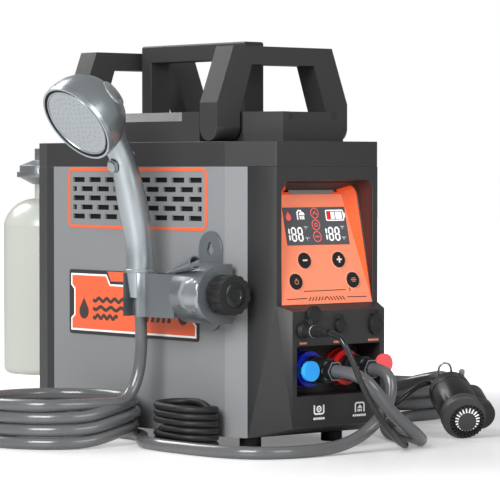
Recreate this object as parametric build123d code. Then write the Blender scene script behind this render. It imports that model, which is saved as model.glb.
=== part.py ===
"""Portable propane water heater with shower handset, submersible pump and gas cylinder.

Millimetres, +Z up. The origin is on the floor, under the middle of the cabinet. The control face looks
along -Y, the shower holder is on the -X side and the gas cylinder hangs behind the +Y side.
"""
from build123d import *
from math import cos, hypot, pi, radians, sin, tan
import os

os.makedirs("parts", exist_ok=True)

# Cabinet
WIDTH = 176.0
FRONT_Y = -195.5
REAR_Y = 195.5
FLOOR_GAP = 12.0
SEAM_Z, CAP_HEIGHT = 283.0, 25.4
CAP_TOP = SEAM_Z + CAP_HEIGHT
FRONT_CUT_X, FRONT_CUT_Y = 20.0, 56.0
REAR_CUT_X, REAR_CUT_Y = 15.0, 35.0
PANEL_SHARE = 0.44  # share of the front corner facet that the side panel wraps
PANEL_REAR_Y = 148.0
SHEET = 2.5
MOULD = 3.0
HALF = WIDTH / 2
FIT = 0.3

# Vent pattern and badge on the side panels
VENT_ROWS, VENT_COLUMNS = 5, 8
VENT_PITCH_Y, VENT_PITCH_Z = 28.0, 9.7
VENT_SLOT, VENT_SLOT_HEIGHT = 20.5, 5.2
VENT_MID_Y, VENT_TOP_Z = 5.3, 269.2
BADGE_LENGTH, BADGE_HEIGHT, BADGE_THICK = 218.0, 68.0, 1.0
BADGE_MID_Y, BADGE_MID_Z = 9.8, 139.5

# Control niche and console
CONSOLE_OUT = 17.0
CONSOLE_TOP = 145.0
NICHE_HALF, NICHE_TOP, NICHE_DEPTH = 61.6, 269.7, 26.0
NICHE_BACK_HALF, NICHE_BACK_TOP = 40.0, 260.0
NICHE_CORNER = 10.0
CHIN_RISE = 12.5
LEDGE_DROP = 5.5
ALCOVE_HALF, ALCOVE_LOW, ALCOVE_HIGH, ALCOVE_DEPTH = 56.0, 55.0, 105.0, 34.5
CONSOLE_Y = FRONT_Y - CONSOLE_OUT
ALCOVE_BACK_Y = CONSOLE_Y + ALCOVE_DEPTH

# Control face, measured along its own slope from the lower edge
BEZEL_WALL, BEZEL_LIP = 2.5, 0.5
OVERLAY_THICK = 0.6
WINDOW_HALF, WINDOW_LOW_Z, WINDOW_HIGH_Z, WINDOW_THICK = 42.0, 204.0, 242.0, 0.8
BUTTON_R, BUTTON_PROUD, BUTTON_LENGTH = 7.8, 1.6, 4.5
UPPER_BUTTON_X, UPPER_BUTTON_Z = 23.0, 188.7
LOWER_BUTTON_X, LOWER_BUTTON_Z = 38.4, 168.0

# Sockets on the console
SOCKET_R, SOCKET_LENGTH = 6.5, 14.0
PUMP_SOCKET_X, PUMP_SOCKET_Z = -50.0, 120.5
USB_X, DC_X, SOCKET_Z = 0.0, 47.5, 123.8
SOCKETS = [(PUMP_SOCKET_X, PUMP_SOCKET_Z), (USB_X, SOCKET_Z), (DC_X, SOCKET_Z)]
PLUG_LENGTH, PLUG_R = 40.0, 5.5
FLAP_THICK = 3.0

# Water fittings
INLET_X, OUTLET_X, FITTING_Z = -22.0, 27.0, 80.0
RING_R, RING_LENGTH = 18.5, 16.0
COUPLER_R = 12.5
NUT_R, NUT_LENGTH = 10.2, 10.0
DUST_R, DUST_THICK = 10.0, 5.0

# Deck and handles on the cap
DECK_HEIGHT = 30.0
BLOCK_HALF_Y = 98.3
NECK_HALF = 55.3
NOTCH_LENGTH = 30.7
NOSE_HALF, NOSE_LENGTH = 40.5, 44.5
DECK_TOP = CAP_TOP + DECK_HEIGHT
CARRY_HALF, CARRY_FRONT_Y, CARRY_REAR_Y, CARRY_RISE = 13.0, -81.0, 90.0, 73.6
CARRY_TOP = DECK_TOP + CARRY_RISE
CARRY_POST, CARRY_BAR = 16.0, 18.0
BAIL_THICK, BAIL_RISE, BAIL_BEND_RISE = 27.5, 96.6, 39.1
BAIL_TOP, BAIL_BEND_Z = CAP_TOP + BAIL_RISE, CAP_TOP + BAIL_BEND_RISE
BAIL_TOP_HALF, BAIL_LEG, BAIL_BAR = 66.4, 30.0, 18.5
BAIL_INNER_TOP = 42.0
PIN_R, PIN_CLEAR = 3.0, 0.05
PIVOT_Z = CAP_TOP + 0.65 + BAIL_THICK / 2
BAIL_Y = BLOCK_HALF_Y + 1.7 + BAIL_THICK / 2

# Feet
FOOT_R, FOOT_X, FOOT_Y, FOOT_HOLE_R = 11.0, 55.0, 140.0, 2.2

# Gas cylinder and regulator
CYLINDER_R, CYLINDER_LOW, CYLINDER_HIGH = 50.0, 49.5, 247.0
CYLINDER_Y = 278.8
NECK_R, NECK_TOP, CYLINDER_WALL = 15.0, 263.0, 2.5
REGULATOR_R, FLANGE_R = 32.0, 35.0
REGULATOR_LOW, FLANGE_Z, FLANGE_THICK, REGULATOR_TOP = 263.0, 271.0, 6.0, 290.0
KNOB_R, KNOB_HEIGHT = 15.0, 13.0
ARM_R, ARM_Z = 9.0, 280.0
STUB_R, STUB_LENGTH = 8.0, 16.0
GAS_PIPE_R = 4.0
FEED_Z = ARM_Z - 3.0

# Shower holder
PLATE_WIDTH, PLATE_LOW, PLATE_HIGH, PLATE_THICK = 35.0, 118.0, 218.0, 3.0
PLATE_Y = -119.5
PIVOT_X, TILT_Z = -106.0, 156.0
STRAP_R, STRAP_THICK, STRAP_FRONT_Y, STRAP_REAR_Y = 30.0, 2.5, -152.0, -110.0
STRAP_END = 3.0
HOLDER_REACH = 300.0  # past every edge of the holder, for its cutting boxes
HUB_R, BOLT_R = 13.0, 4.0
HAND_KNOB_R, HAND_KNOB_LENGTH, HAND_KNOB_GAP, FLUTES = 20.0, 20.0, 2.0, 14
CLIP_X, CLIP_Y, CLIP_LOW, CLIP_HIGH, CLIP_R = -123.5, -47.0, 131.0, 175.0, 17.0
CLIP_SLOT = 22.0
STRIP_X, STRIP_THICK = -127.0, 4.0

# Handset: handle centre line as (x, z, radius), head profile as (radius, depth behind the face)
CONE_LOW, CONE_LOW_R, CONE_HIGH_R = 150.0, 10.2, 13.6
HANDLE = [(-123.5, 175.0, 13.9), (-123.6, 190.0, 14.0), (-125.6, 213.5, 14.2), (-133.6, 249.0, 15.0),
          (-143.8, 284.6, 12.9), (-152.0, 303.0, 13.2), (-171.0, 322.0, 13.0)]
HEAD_X, HEAD_Z = -204.3, 325.5
HEAD_TILT = 36.4  # degrees that the spray face looks below the level
HEAD_R = 43.5
HEAD_PROFILE = [(43.5, 4.0), (42.2, 13.0), (37.8, 25.0), (28.0, 36.5), (15.5, 44.0)]
FACE_SEAT, FACE_THICK = 3.5, 2.0
BACK_CAP_R, BACK_CAP_THICK = 14.0, 3.0
PRESS_R = 5.5
HANDSET_WALL = 2.6

# Hoses and cables: centre line points (x, y, z)
HOSE_R = 6.25
INLET_HOSE_R = 6.5
CABLE_R = 3.0
LEAD_R = 3.5
HOSE_START_Y = CONSOLE_Y - 19.5
SHOWER_COIL = (-173.6, 24.9, 77.75, 4)      # x, y, mean radius, layers
INLET_COIL = (274.0, 59.7, 100.0, 3)
SHOWER_ROUTE = [(OUTLET_X, HOSE_START_Y, FITTING_Z), (27.0, -248.0, 80.0), (26.5, -259.5, 71.5),
                (25.0, -262.0, 57.0), (19.0, -260.0, 42.5), (8.0, -258.0, 28.5), (-11.0, -256.5, 16.0),
                (-40.0, -257.0, 8.0), (-75.0, -257.0, 6.25), (-112.0, -253.0, 6.25),
                (-138.0, -233.0, 6.25), (-149.5, -195.0, 6.25), (-151.0, -148.0, 6.25),
                (-150.0, -110.0, 6.25), (-145.5, -83.0, 6.25), (-134.0, -62.5, 6.25), (-117.5, -45.0, 6.25),
                (-104.5, -26.0, 6.25), (-97.2, -2.0, 6.25), (-95.85, 24.9, 6.25)]
RISER_ROUTE = [(-157.0, -51.1, 43.75), (-145.5, -48.4, 45.0), (-134.0, -46.5, 53.0), (-125.0, -46.5, 71.0),
               (-121.5, -47.0, 96.0), (-122.0, -47.0, 124.0), (CLIP_X, CLIP_Y, CONE_LOW)]
INLET_ROUTE = [(INLET_X, HOSE_START_Y, FITTING_Z), (-22.0, -254.0, 80.0), (-18.0, -270.0, 74.0),
               (-9.4, -278.5, 61.0), (4.0, -279.0, 45.5), (22.0, -275.0, 31.0), (44.5, -267.0, 17.5),
               (63.0, -255.0, 8.5), (78.0, -238.0, 6.5), (93.0, -217.0, 6.5), (116.0, -182.0, 6.5),
               (142.0, -143.0, 6.5), (174.0, -100.0, 6.5), (212.0, -66.0, 6.5), (256.1, -38.7, 6.5),
               (296.0, -37.8, 6.5)]
PUMP_HOSE_ROUTE = [(182.0, 20.0, 32.5), (197.0, -8.0, 33.0), (214.0, -37.0, 38.0), (233.0, -66.0, 46.0),
                   (240.0, -93.0, 53.0), (236.0, -117.0, 56.5), (225.0, -133.0, 55.5)]
CABLE_ROUTE = [(-48.9, -265.0, 118.5), (-49.0, -273.0, 112.0), (-46.5, -278.0, 102.0),
               (-43.0, -282.5, 89.0), (-38.5, -286.5, 74.0), (-32.0, -290.5, 58.0), (-23.0, -294.0, 41.5),
               (-9.0, -292.0, 27.0), (10.0, -281.0, 13.5), (34.0, -263.0, 4.5), (57.0, -242.0, 3.0),
               (78.0, -215.0, 3.0), (97.0, -186.0, 3.0), (115.0, -156.0, 4.0), (130.0, -136.0, 11.0),
               (147.0, -121.0, 20.0), (165.0, -112.0, 25.0), (184.0, -114.0, 37.0), (197.0, -122.0, 49.0)]
PUMP_BASE, PUMP_AXIS = (167.2, -221.2, 22.3), (0.50, 0.81, 0.31)
PUMP_LENGTH, PUMP_R, STRAINER_R, STRAINER_DEPTH = 85.0, 22.2, 23.3, 11.0
LOBE_R, LOBE_OUT, LOBE_LOW, LOBE_LENGTH = 14.0, 19.0, 14.0, 42.0
HANK_X, HANK_Y, HANK_HALF, HANK_END, HANK_LAYERS = -115.0, -111.0, 39.0, 24.5, 7
LEAD_Y, LEAD_Z = -57.0, 28.0
LEAD_ROUTE = [(-74.0, LEAD_Y, LEAD_Z), (-93.6, -58.0, 27.6), (-94.0, -84.0, 24.5)]
PLUG_TAIL_ROUTE = [(-115.0, -104.0, 7.0), (-114.8, -93.0, 8.0), (-110.5, -83.5, 13.0), (-101.5, -80.0, 18.0)]


def box(x0, x1, y0, y1, z0, z1):
    return Pos((x0 + x1) / 2, (y0 + y1) / 2, (z0 + z1) / 2) * Box(x1 - x0, y1 - y0, z1 - z0)


def prism(points, z0, z1):
    return Pos(0, 0, z0) * extrude(Polygon(*points, align=None), z1 - z0, dir=(0, 0, 1))


def prism_x(points, x0, x1):
    """Outline given as (y, z), carried along X."""
    return Pos(x0, 0, 0) * extrude(Plane.YZ * Polygon(*points, align=None), x1 - x0, dir=(1, 0, 0))


def prism_y(points, y0, y1):
    """Outline given as (x, z), carried along Y."""
    return Pos(0, y0, 0) * extrude(Plane.XZ * Polygon(*points, align=None), y1 - y0, dir=(0, 1, 0))


def rod(start, end, radius, end_radius=None):
    """Round bar or cone between two points."""
    axis = Vector(*end) - Vector(*start)
    plane = Plane(origin=start, z_dir=axis)
    if end_radius is None or end_radius == radius:
        solid = Cylinder(radius, axis.length)
    else:
        solid = Cone(radius, end_radius, axis.length)
    return plane * Pos(0, 0, axis.length / 2) * solid


def save(node, shape):
    export_step(shape, f"parts/{node}.step")


# Cabinet outline

def outline():
    return [(-HALF, FRONT_Y + FRONT_CUT_Y), (-HALF + FRONT_CUT_X, FRONT_Y),
            (HALF - FRONT_CUT_X, FRONT_Y), (HALF, FRONT_Y + FRONT_CUT_Y),
            (HALF, REAR_Y - REAR_CUT_Y), (HALF - REAR_CUT_X, REAR_Y),
            (-HALF + REAR_CUT_X, REAR_Y), (-HALF, REAR_Y - REAR_CUT_Y)]


def shell_ring(wall, z0, z1):
    face = Polygon(*outline(), align=None)
    ring = face - offset(face, -wall, kind=Kind.INTERSECTION)
    return Pos(0, 0, z0) * extrude(ring, z1 - z0, dir=(0, 0, 1))


def split_point(side=-1):
    """Where the side panel ends on the front corner facet."""
    return (side * (HALF - FRONT_CUT_X * PANEL_SHARE),
            FRONT_Y + FRONT_CUT_Y * (1 - PANEL_SHARE))


def panel_region(side):
    length = hypot(FRONT_CUT_X, FRONT_CUT_Y)
    nx, ny = -side * FRONT_CUT_Y / length, FRONT_CUT_X / length
    px, py = split_point(side)
    reach = 30.0
    return [(px - reach * nx, py - reach * ny), (px + reach * nx, py + reach * ny),
            (side * (HALF - reach), PANEL_REAR_Y), (side * (HALF + reach), PANEL_REAR_Y)]


def vent_slots(side):
    slots = []
    for row in range(VENT_ROWS):
        z = VENT_TOP_Z - row * VENT_PITCH_Z
        span = VENT_COLUMNS * VENT_PITCH_Y - (VENT_PITCH_Y - VENT_SLOT)
        low, high = VENT_MID_Y - span / 2, VENT_MID_Y + span / 2
        shift = VENT_PITCH_Y / 2 if row % 2 else 0.0
        for column in range(-1, VENT_COLUMNS):
            y0 = low + column * VENT_PITCH_Y + shift
            y1 = min(y0 + VENT_SLOT, high)
            y0 = max(y0, low)
            if y1 - y0 > VENT_SLOT / 4:
                slots.append(box(side * HALF - 5, side * HALF + 5, y0, y1,
                                 z - VENT_SLOT_HEIGHT / 2, z + VENT_SLOT_HEIGHT / 2))
    return slots


def side_panel(side):
    panel = shell_ring(SHEET, FLOOR_GAP, SEAM_Z) & prism(panel_region(side), FLOOR_GAP, SEAM_Z)
    for slot in vent_slots(side):
        panel -= slot
    if side < 0:
        panel -= rod((-HALF - 5, LEAD_Y, LEAD_Z), (-HALF + 5, LEAD_Y, LEAD_Z), LEAD_R + 2.0)
    return panel


def badge_plate():
    plane = Plane(origin=(-HALF, BADGE_MID_Y, BADGE_MID_Z), x_dir=(0, 1, 0), z_dir=(-1, 0, 0))
    return extrude(plane * RectangleRounded(BADGE_LENGTH, BADGE_HEIGHT, 3.0), BADGE_THICK)


def foot_places():
    return [(x, y) for x in (-FOOT_X, FOOT_X) for y in (-FOOT_Y, FOOT_Y)]


def base_pan():
    face = offset(Polygon(*outline(), align=None), -SHEET, kind=Kind.INTERSECTION)
    plate = Pos(0, 0, FLOOR_GAP) * extrude(face, MOULD, dir=(0, 0, 1))
    plate -= box(-HALF, HALF, FRONT_Y - 10, split_point()[1], 0, 2 * FLOOR_GAP)
    plate -= shell_ring(MOULD, 0, 30) & box(-HALF, HALF, PANEL_REAR_Y, REAR_Y, 0, 30)
    for x, y in foot_places():
        plate -= Pos(x, y, FLOOR_GAP) * Cylinder(FOOT_HOLE_R, 4 * MOULD)
    return plate


def feet():
    pads = []
    for x, y in foot_places():
        pad = Pos(x, y, FLOOR_GAP / 2) * (Cylinder(FOOT_R, FLOOR_GAP) - Cylinder(FOOT_HOLE_R, 2 * FLOOR_GAP))
        pads.append(pad)
    return Compound(children=pads)


def rear_frame():
    ring = shell_ring(MOULD, FLOOR_GAP, SEAM_Z)
    frame = ring & box(-HALF, HALF, PANEL_REAR_Y, REAR_Y, FLOOR_GAP, SEAM_Z)
    frame -= rod((0, REAR_Y - 10, FEED_Z), (0, REAR_Y + 10, FEED_Z), GAS_PIPE_R + 0.5)
    for row in range(5):
        z = 190.0 + row * 12.0
        frame -= box(-40.0, 40.0, REAR_Y - 10, REAR_Y + 10, z, z + 5.0)
    return frame


def facet_x(y, inset):
    """Half width of the cabinet at a place on the front corner facet, moved inwards by a wall."""
    length = hypot(FRONT_CUT_X, FRONT_CUT_Y)
    share = (y - inset * FRONT_CUT_X / length - (FRONT_Y + FRONT_CUT_Y)) / -FRONT_CUT_Y
    return HALF - FRONT_CUT_X * share - inset * FRONT_CUT_Y / length


# Front moulding with the control niche, the console and the alcove

def front_polygon(front_y, inset=0.0, back_y=None):
    back = split_point(1)[1] if back_y is None else back_y
    wide, narrow = facet_x(back, inset), facet_x(front_y, inset)
    return [(-wide, back), (-narrow, front_y), (narrow, front_y), (wide, back)]


def niche_shape(grow=0.0):
    """Tapered recess; its floor is cut off along the slope of the control face."""
    low = CONSOLE_TOP - 60.0
    front_height = NICHE_TOP - low + grow
    back_height = NICHE_BACK_TOP - low + grow
    front = Plane(origin=(0, FRONT_Y, low + front_height / 2), x_dir=(1, 0, 0), z_dir=(0, 1, 0))
    back = Plane(origin=(0, FRONT_Y + NICHE_DEPTH, low + back_height / 2), x_dir=(1, 0, 0),
                 z_dir=(0, 1, 0))
    mouth = front * RectangleRounded(2 * (NICHE_HALF + grow), front_height, NICHE_CORNER)
    floor = back * RectangleRounded(2 * (NICHE_BACK_HALF + grow), back_height, NICHE_CORNER)
    return loft([mouth, floor])


def slope_slice(share, back_shift, reach=300.0):
    """Everything in front of a plane that leans back by a share of the control face's slope."""
    rise = NICHE_BACK_TOP - CONSOLE_TOP
    slope = share * NICHE_DEPTH / rise
    y0, z0 = FRONT_Y + back_shift, CONSOLE_TOP
    points = [(y0 - slope * reach, z0 - reach), (y0 + slope * reach, z0 + reach),
              (y0 - reach, z0 + reach), (y0 - reach, z0 - reach)]
    return prism_x(points, -reach, reach)


def chin_wedge(raise_by=0.0):
    """Space under the sloping bottom edge of the front moulding."""
    y0 = split_point()[1]
    slope = CHIN_RISE / (y0 - CONSOLE_Y)
    y1 = CONSOLE_Y - 20.0
    points = [(y0 + 10, FLOOR_GAP + raise_by), (y0, FLOOR_GAP + raise_by),
              (y1, FLOOR_GAP + raise_by + slope * (y0 - y1)), (y1, -20.0), (y0 + 10, -20.0)]
    return prism_x(points, -HALF - 10, HALF + 10)


def front_frame():
    upper = prism(front_polygon(FRONT_Y), CONSOLE_TOP, SEAM_Z)
    lower = prism(front_polygon(CONSOLE_Y), FLOOR_GAP, CONSOLE_TOP)
    back_y = split_point()[1] + 1.0
    hollow_upper = prism(front_polygon(FRONT_Y + MOULD, MOULD, back_y), CONSOLE_TOP - 10, SEAM_Z - MOULD)
    hollow_lower = prism(front_polygon(CONSOLE_Y + MOULD, MOULD, back_y), FLOOR_GAP - 1, CONSOLE_TOP - MOULD)
    drop, under = LEDGE_DROP * 1.3, CONSOLE_TOP - MOULD
    ledge = [(FRONT_Y, CONSOLE_TOP), (CONSOLE_Y - 5, CONSOLE_TOP), (CONSOLE_Y - 5, CONSOLE_TOP - drop)]
    hollow_lower -= prism_x([(FRONT_Y + MOULD, under), (FRONT_Y, under), (CONSOLE_Y - 5, under - drop),
                             (CONSOLE_Y - 5, CONSOLE_TOP)], -HALF, HALF)
    frame = upper + lower - prism_x(ledge, -HALF, HALF) - hollow_upper - (hollow_lower - chin_wedge(MOULD))
    seat = niche_shape(BEZEL_WALL + MOULD) & upper
    frame += seat
    alcove = box(-ALCOVE_HALF, ALCOVE_HALF, CONSOLE_Y - 1, ALCOVE_BACK_Y, ALCOVE_LOW, ALCOVE_HIGH)
    frame += box(-ALCOVE_HALF - MOULD, ALCOVE_HALF + MOULD, CONSOLE_Y + 1, ALCOVE_BACK_Y + MOULD,
                 ALCOVE_LOW - MOULD, ALCOVE_HIGH + MOULD) & lower
    frame -= alcove
    above = box(-HALF, HALF, FRONT_Y - 1, FRONT_Y + 60, CONSOLE_TOP, SEAM_Z)
    frame -= niche_shape() & slope_slice(1.0, BEZEL_WALL)
    frame -= (niche_shape(BEZEL_WALL + FIT) - slope_slice(0.5, BEZEL_LIP)) & above
    frame -= chin_wedge()
    for x, z in SOCKETS:
        frame -= rod((x, CONSOLE_Y - 5, z), (x, CONSOLE_Y + 10, z), SOCKET_R)
    for x in (INLET_X, OUTLET_X):
        frame -= rod((x, ALCOVE_BACK_Y - 5, FITTING_Z), (x, ALCOVE_BACK_Y + 10, FITTING_Z), COUPLER_R - 3)
    return frame


def control_bezel():
    """Orange tray behind the control sheet, with a sloping border on both sides and the top."""
    tray = niche_shape(BEZEL_WALL) - slope_slice(0.5, BEZEL_LIP + FIT)
    tray &= slope_slice(1.0, BEZEL_WALL + OVERLAY_THICK)
    tray -= niche_shape() & slope_slice(1.0, OVERLAY_THICK)
    tray &= box(-HALF, HALF, FRONT_Y, FRONT_Y + 60, CONSOLE_TOP + FIT, SEAM_Z)
    for x in (-30.0, 30.0):
        for z in (168.0, 236.0):
            tray += face_plane(x, z, -BEZEL_WALL - OVERLAY_THICK - 0.9) * Cylinder(2.5, 2.2)
    return tray


def face_plane(x, z, shift=0.0):
    """Plane on the control face at a height, looking out of the face."""
    rise = NICHE_BACK_TOP - CONSOLE_TOP
    y = FRONT_Y + (z - CONSOLE_TOP) * NICHE_DEPTH / rise
    normal = Vector(0, -rise, NICHE_DEPTH).normalized()
    origin = Vector(x, y, z) + normal * shift
    return Plane(origin=origin, x_dir=(1, 0, 0), z_dir=normal)


BUTTONS = {"button_minus": (-UPPER_BUTTON_X, UPPER_BUTTON_Z), "button_plus": (UPPER_BUTTON_X, UPPER_BUTTON_Z),
           "button_power": (-LOWER_BUTTON_X, LOWER_BUTTON_Z), "button_mode": (LOWER_BUTTON_X, LOWER_BUTTON_Z)}


def button_holes(shape, radius):
    for x, z in BUTTONS.values():
        shape -= face_plane(x, z, -8.0) * Pos(0, 0, 10) * Cylinder(radius, 20)
    return shape


def control_overlay():
    """Printed sheet that lies on the tray, with openings for the display and the four buttons."""
    sheet = slope_slice(1.0, OVERLAY_THICK) - slope_slice(1.0, 0.0)
    sheet &= niche_shape(-0.4)
    sheet &= box(-HALF, HALF, FRONT_Y, FRONT_Y + 60, CONSOLE_TOP + FIT, NICHE_BACK_TOP - 5)
    sheet -= window_block(0.15)
    return button_holes(sheet, BUTTON_R + FIT)


def window_block(gap):
    low, high = WINDOW_LOW_Z - gap, WINDOW_HIGH_Z + gap
    plane = face_plane(0, (low + high) / 2, -0.95 * OVERLAY_THICK)
    rise = NICHE_BACK_TOP - CONSOLE_TOP
    length = (high - low) * hypot(NICHE_DEPTH, rise) / rise
    return plane * Pos(0, 0, WINDOW_THICK / 2) * Box(2 * (WINDOW_HALF + gap), length, WINDOW_THICK)


def button(name):
    """Round key: a wide cap above the sheet and a stem that reaches the switch behind the tray."""
    x, z = BUTTONS[name]
    cap = face_plane(x, z, BUTTON_PROUD - BUTTON_LENGTH / 2) * Cylinder(BUTTON_R, BUTTON_LENGTH)
    return cap


def control_board():
    """Circuit board on four posts behind the tray, with the four switches under the buttons."""
    board = face_plane(0, 200.0, -BEZEL_WALL - OVERLAY_THICK - 3.0) * Box(2 * NICHE_BACK_HALF - 6, 92, 2.0)
    for x in (-25.0, 0.0, 25.0):
        board += face_plane(x, 226.0, -BEZEL_WALL - OVERLAY_THICK - 6.0) * Box(12, 14, 4.0)
    return board


# Sockets and their rubber caps

def sockets():
    jacks = []
    for x, z in SOCKETS:
        jack = rod((x, CONSOLE_Y - 0.6, z), (x, CONSOLE_Y + SOCKET_LENGTH, z), SOCKET_R)
        jack -= rod((x, CONSOLE_Y - 2, z), (x, CONSOLE_Y + 10, z), 2.8)
        jacks.append(jack)
    return Compound(children=jacks)


FLAP_GAP = 1.0
FLAP_FRONT_Y = CONSOLE_Y - FLAP_GAP - FLAP_THICK
USB_CAP_R, DC_CAP_WIDTH, DC_CAP_HEIGHT = 6.9, 15.5, 21.0
PUMP_FLAP_X, PUMP_FLAP_Z, PUMP_FLAP_R = -36.0, 136.0, 9.0
PUMP_HINGE_X, PUMP_HINGE_Z = -43.0, 129.0
USB_HINGE_Z = SOCKET_Z + USB_CAP_R + 2.0
DC_HINGE_Z = SOCKET_Z + DC_CAP_HEIGHT / 2 + 2.0


def hinge_lug(x, z, half):
    return rod((x - half, CONSOLE_Y - 2.0, z), (x + half, CONSOLE_Y - 2.0, z), 1.5)


def usb_cap():
    cap = rod((USB_X, FLAP_FRONT_Y, SOCKET_Z), (USB_X, CONSOLE_Y - FLAP_GAP, SOCKET_Z), USB_CAP_R)
    cap += box(USB_X - 3, USB_X + 3, CONSOLE_Y - 3.0, CONSOLE_Y - 1.2, SOCKET_Z + 4, USB_HINGE_Z)
    return cap + hinge_lug(USB_X, USB_HINGE_Z, 3.0)


def dc_cap():
    plane = Plane(origin=(DC_X, CONSOLE_Y - FLAP_GAP, SOCKET_Z), x_dir=(1, 0, 0), z_dir=(0, -1, 0))
    cap = extrude(plane * SlotOverall(DC_CAP_HEIGHT, DC_CAP_WIDTH, rotation=90), FLAP_THICK)
    cap += box(DC_X - 3, DC_X + 3, CONSOLE_Y - 3.0, CONSOLE_Y - 1.2, SOCKET_Z + 5, DC_HINGE_Z)
    return cap + hinge_lug(DC_X, DC_HINGE_Z, 3.0)


def pump_cap():
    """Rubber cap of the pump socket, swung aside on its rivet while the plug is in."""
    y0, y1 = CONSOLE_Y - FLAP_GAP - FLAP_THICK, CONSOLE_Y - FLAP_GAP
    cap = rod((PUMP_FLAP_X, y0, PUMP_FLAP_Z), (PUMP_FLAP_X, y1, PUMP_FLAP_Z), PUMP_FLAP_R)
    cap += rod((PUMP_HINGE_X, y0, PUMP_HINGE_Z), (PUMP_HINGE_X, y1, PUMP_HINGE_Z), 4.0)
    dx, dz = PUMP_FLAP_X - PUMP_HINGE_X, PUMP_FLAP_Z - PUMP_HINGE_Z
    length = hypot(dx, dz)
    sx, sz = -dz / length * 2.8, dx / length * 2.8
    cap += prism_y([(PUMP_HINGE_X + sx, PUMP_HINGE_Z + sz), (PUMP_FLAP_X + sx, PUMP_FLAP_Z + sz),
                    (PUMP_FLAP_X - sx, PUMP_FLAP_Z - sz), (PUMP_HINGE_X - sx, PUMP_HINGE_Z - sz)], y0, y1)
    bore = RIVET_R + PIN_CLEAR
    return cap - rod((PUMP_HINGE_X, y0 - 1, PUMP_HINGE_Z), (PUMP_HINGE_X, y1 + 1, PUMP_HINGE_Z), bore)


RIVET_R = 1.6


def hinge_ears():
    """Small moulded ears and the rivet on the console that the rubber caps turn on."""
    pads = []
    for x, z in ((USB_X, USB_HINGE_Z), (DC_X, DC_HINGE_Z)):
        for side in (-1, 1):
            edge = x + side * 4.2
            pads.append(box(edge - 0.8, edge + 0.8, CONSOLE_Y - 3.4, CONSOLE_Y, z - 1.6, z + 1.6))
    y0 = CONSOLE_Y - FLAP_GAP - FLAP_THICK
    pads.append(rod((PUMP_HINGE_X, CONSOLE_Y, PUMP_HINGE_Z), (PUMP_HINGE_X, y0 - FIT, PUMP_HINGE_Z), RIVET_R))
    pads.append(rod((PUMP_HINGE_X, y0 - FIT, PUMP_HINGE_Z), (PUMP_HINGE_X, y0 - 1.5, PUMP_HINGE_Z), 3.0))
    return pads


# Water fittings

def fitting_ring(x):
    """Coloured union ring and the threaded port behind it."""
    front = ALCOVE_BACK_Y - RING_LENGTH
    ring = rod((x, ALCOVE_BACK_Y, FITTING_Z), (x, ALCOVE_BACK_Y - 5, FITTING_Z), RING_R)
    ring += rod((x, ALCOVE_BACK_Y - 5, FITTING_Z), (x, ALCOVE_BACK_Y - 9, FITTING_Z), RING_R - 3.5)
    ring += rod((x, ALCOVE_BACK_Y - 9, FITTING_Z), (x, front, FITTING_Z), RING_R - 0.5)
    ring += rod((x, ALCOVE_BACK_Y, FITTING_Z), (x, ALCOVE_BACK_Y + 14, FITTING_Z), COUPLER_R - 3.1)
    return ring


def coupler(x):
    """Black coupler body with the hexagon nut that clamps the hose."""
    start = ALCOVE_BACK_Y - RING_LENGTH
    nut_back = HOSE_START_Y + NUT_LENGTH
    body = rod((x, start, FITTING_Z), (x, nut_back, FITTING_Z), COUPLER_R)
    collar = rod((x, start - 5, FITTING_Z), (x, start - 13, FITTING_Z), COUPLER_R + 1.5)
    plane = Plane(origin=(x, nut_back, FITTING_Z), x_dir=(0, 0, 1), z_dir=(0, -1, 0))
    nut = extrude(plane * RegularPolygon(NUT_R, 6), NUT_LENGTH)
    return body + collar + nut


DUST_HINGE_Y = ALCOVE_BACK_Y - RING_LENGTH + 2.0
DUST_CENTRES = {"inlet_cap": (-47.0, -222.5, 80.7), "outlet_cap": (52.0, -222.5, 84.0)}


def dust_cap(name):
    """Soft cap on its strap, hanging beside the fitting."""
    x, y, z = DUST_CENTRES[name]
    ring_x = INLET_X if x < 0 else OUTLET_X
    side = -1 if x < 0 else 1
    root_x = ring_x + side * (RING_R + 1.2)
    disc = rod((x, y + DUST_THICK / 2, z), (x, y - DUST_THICK / 2, z), DUST_R)
    disc -= rod((x, y + DUST_THICK, z), (x, y - 0.5, z), DUST_R - 3.0)
    strap = box(min(root_x - 0.9, root_x + 0.9), max(root_x - 0.9, root_x + 0.9), y - 1.0, DUST_HINGE_Y,
                FITTING_Z - 3.5, FITTING_Z + 3.5)
    pad = box(min(root_x, x), max(root_x, x), y - 1.5, y + 1.0, FITTING_Z - 3.5, FITTING_Z + 3.5)
    return disc + strap + pad


def pump_plug():
    y0 = CONSOLE_Y - 0.6
    x, z = PUMP_SOCKET_X, PUMP_SOCKET_Z
    plug = rod((x, y0, z), (x, y0 - 20, z), PLUG_R + 0.5)
    plug += rod((x, y0 + 8, z), (x, y0, z), 2.6)
    plug += rod((x, y0 - 20, z), (x, y0 - PLUG_LENGTH, z), PLUG_R, CABLE_R + 0.8)
    return plug - rod((x, y0 - PLUG_LENGTH - 1, z), (x, y0 - PLUG_LENGTH + 6, z), CABLE_R)


# Cap, deck and handles

def top_cap():
    face = Polygon(*outline(), align=None)
    cap = Pos(0, 0, SEAM_Z) * extrude(face, CAP_TOP - SEAM_Z, dir=(0, 0, 1))
    inner = offset(face, -MOULD, kind=Kind.INTERSECTION)
    cap -= Pos(0, 0, SEAM_Z) * extrude(inner, CAP_TOP - SEAM_Z - MOULD, dir=(0, 0, 1))
    return cap


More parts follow.
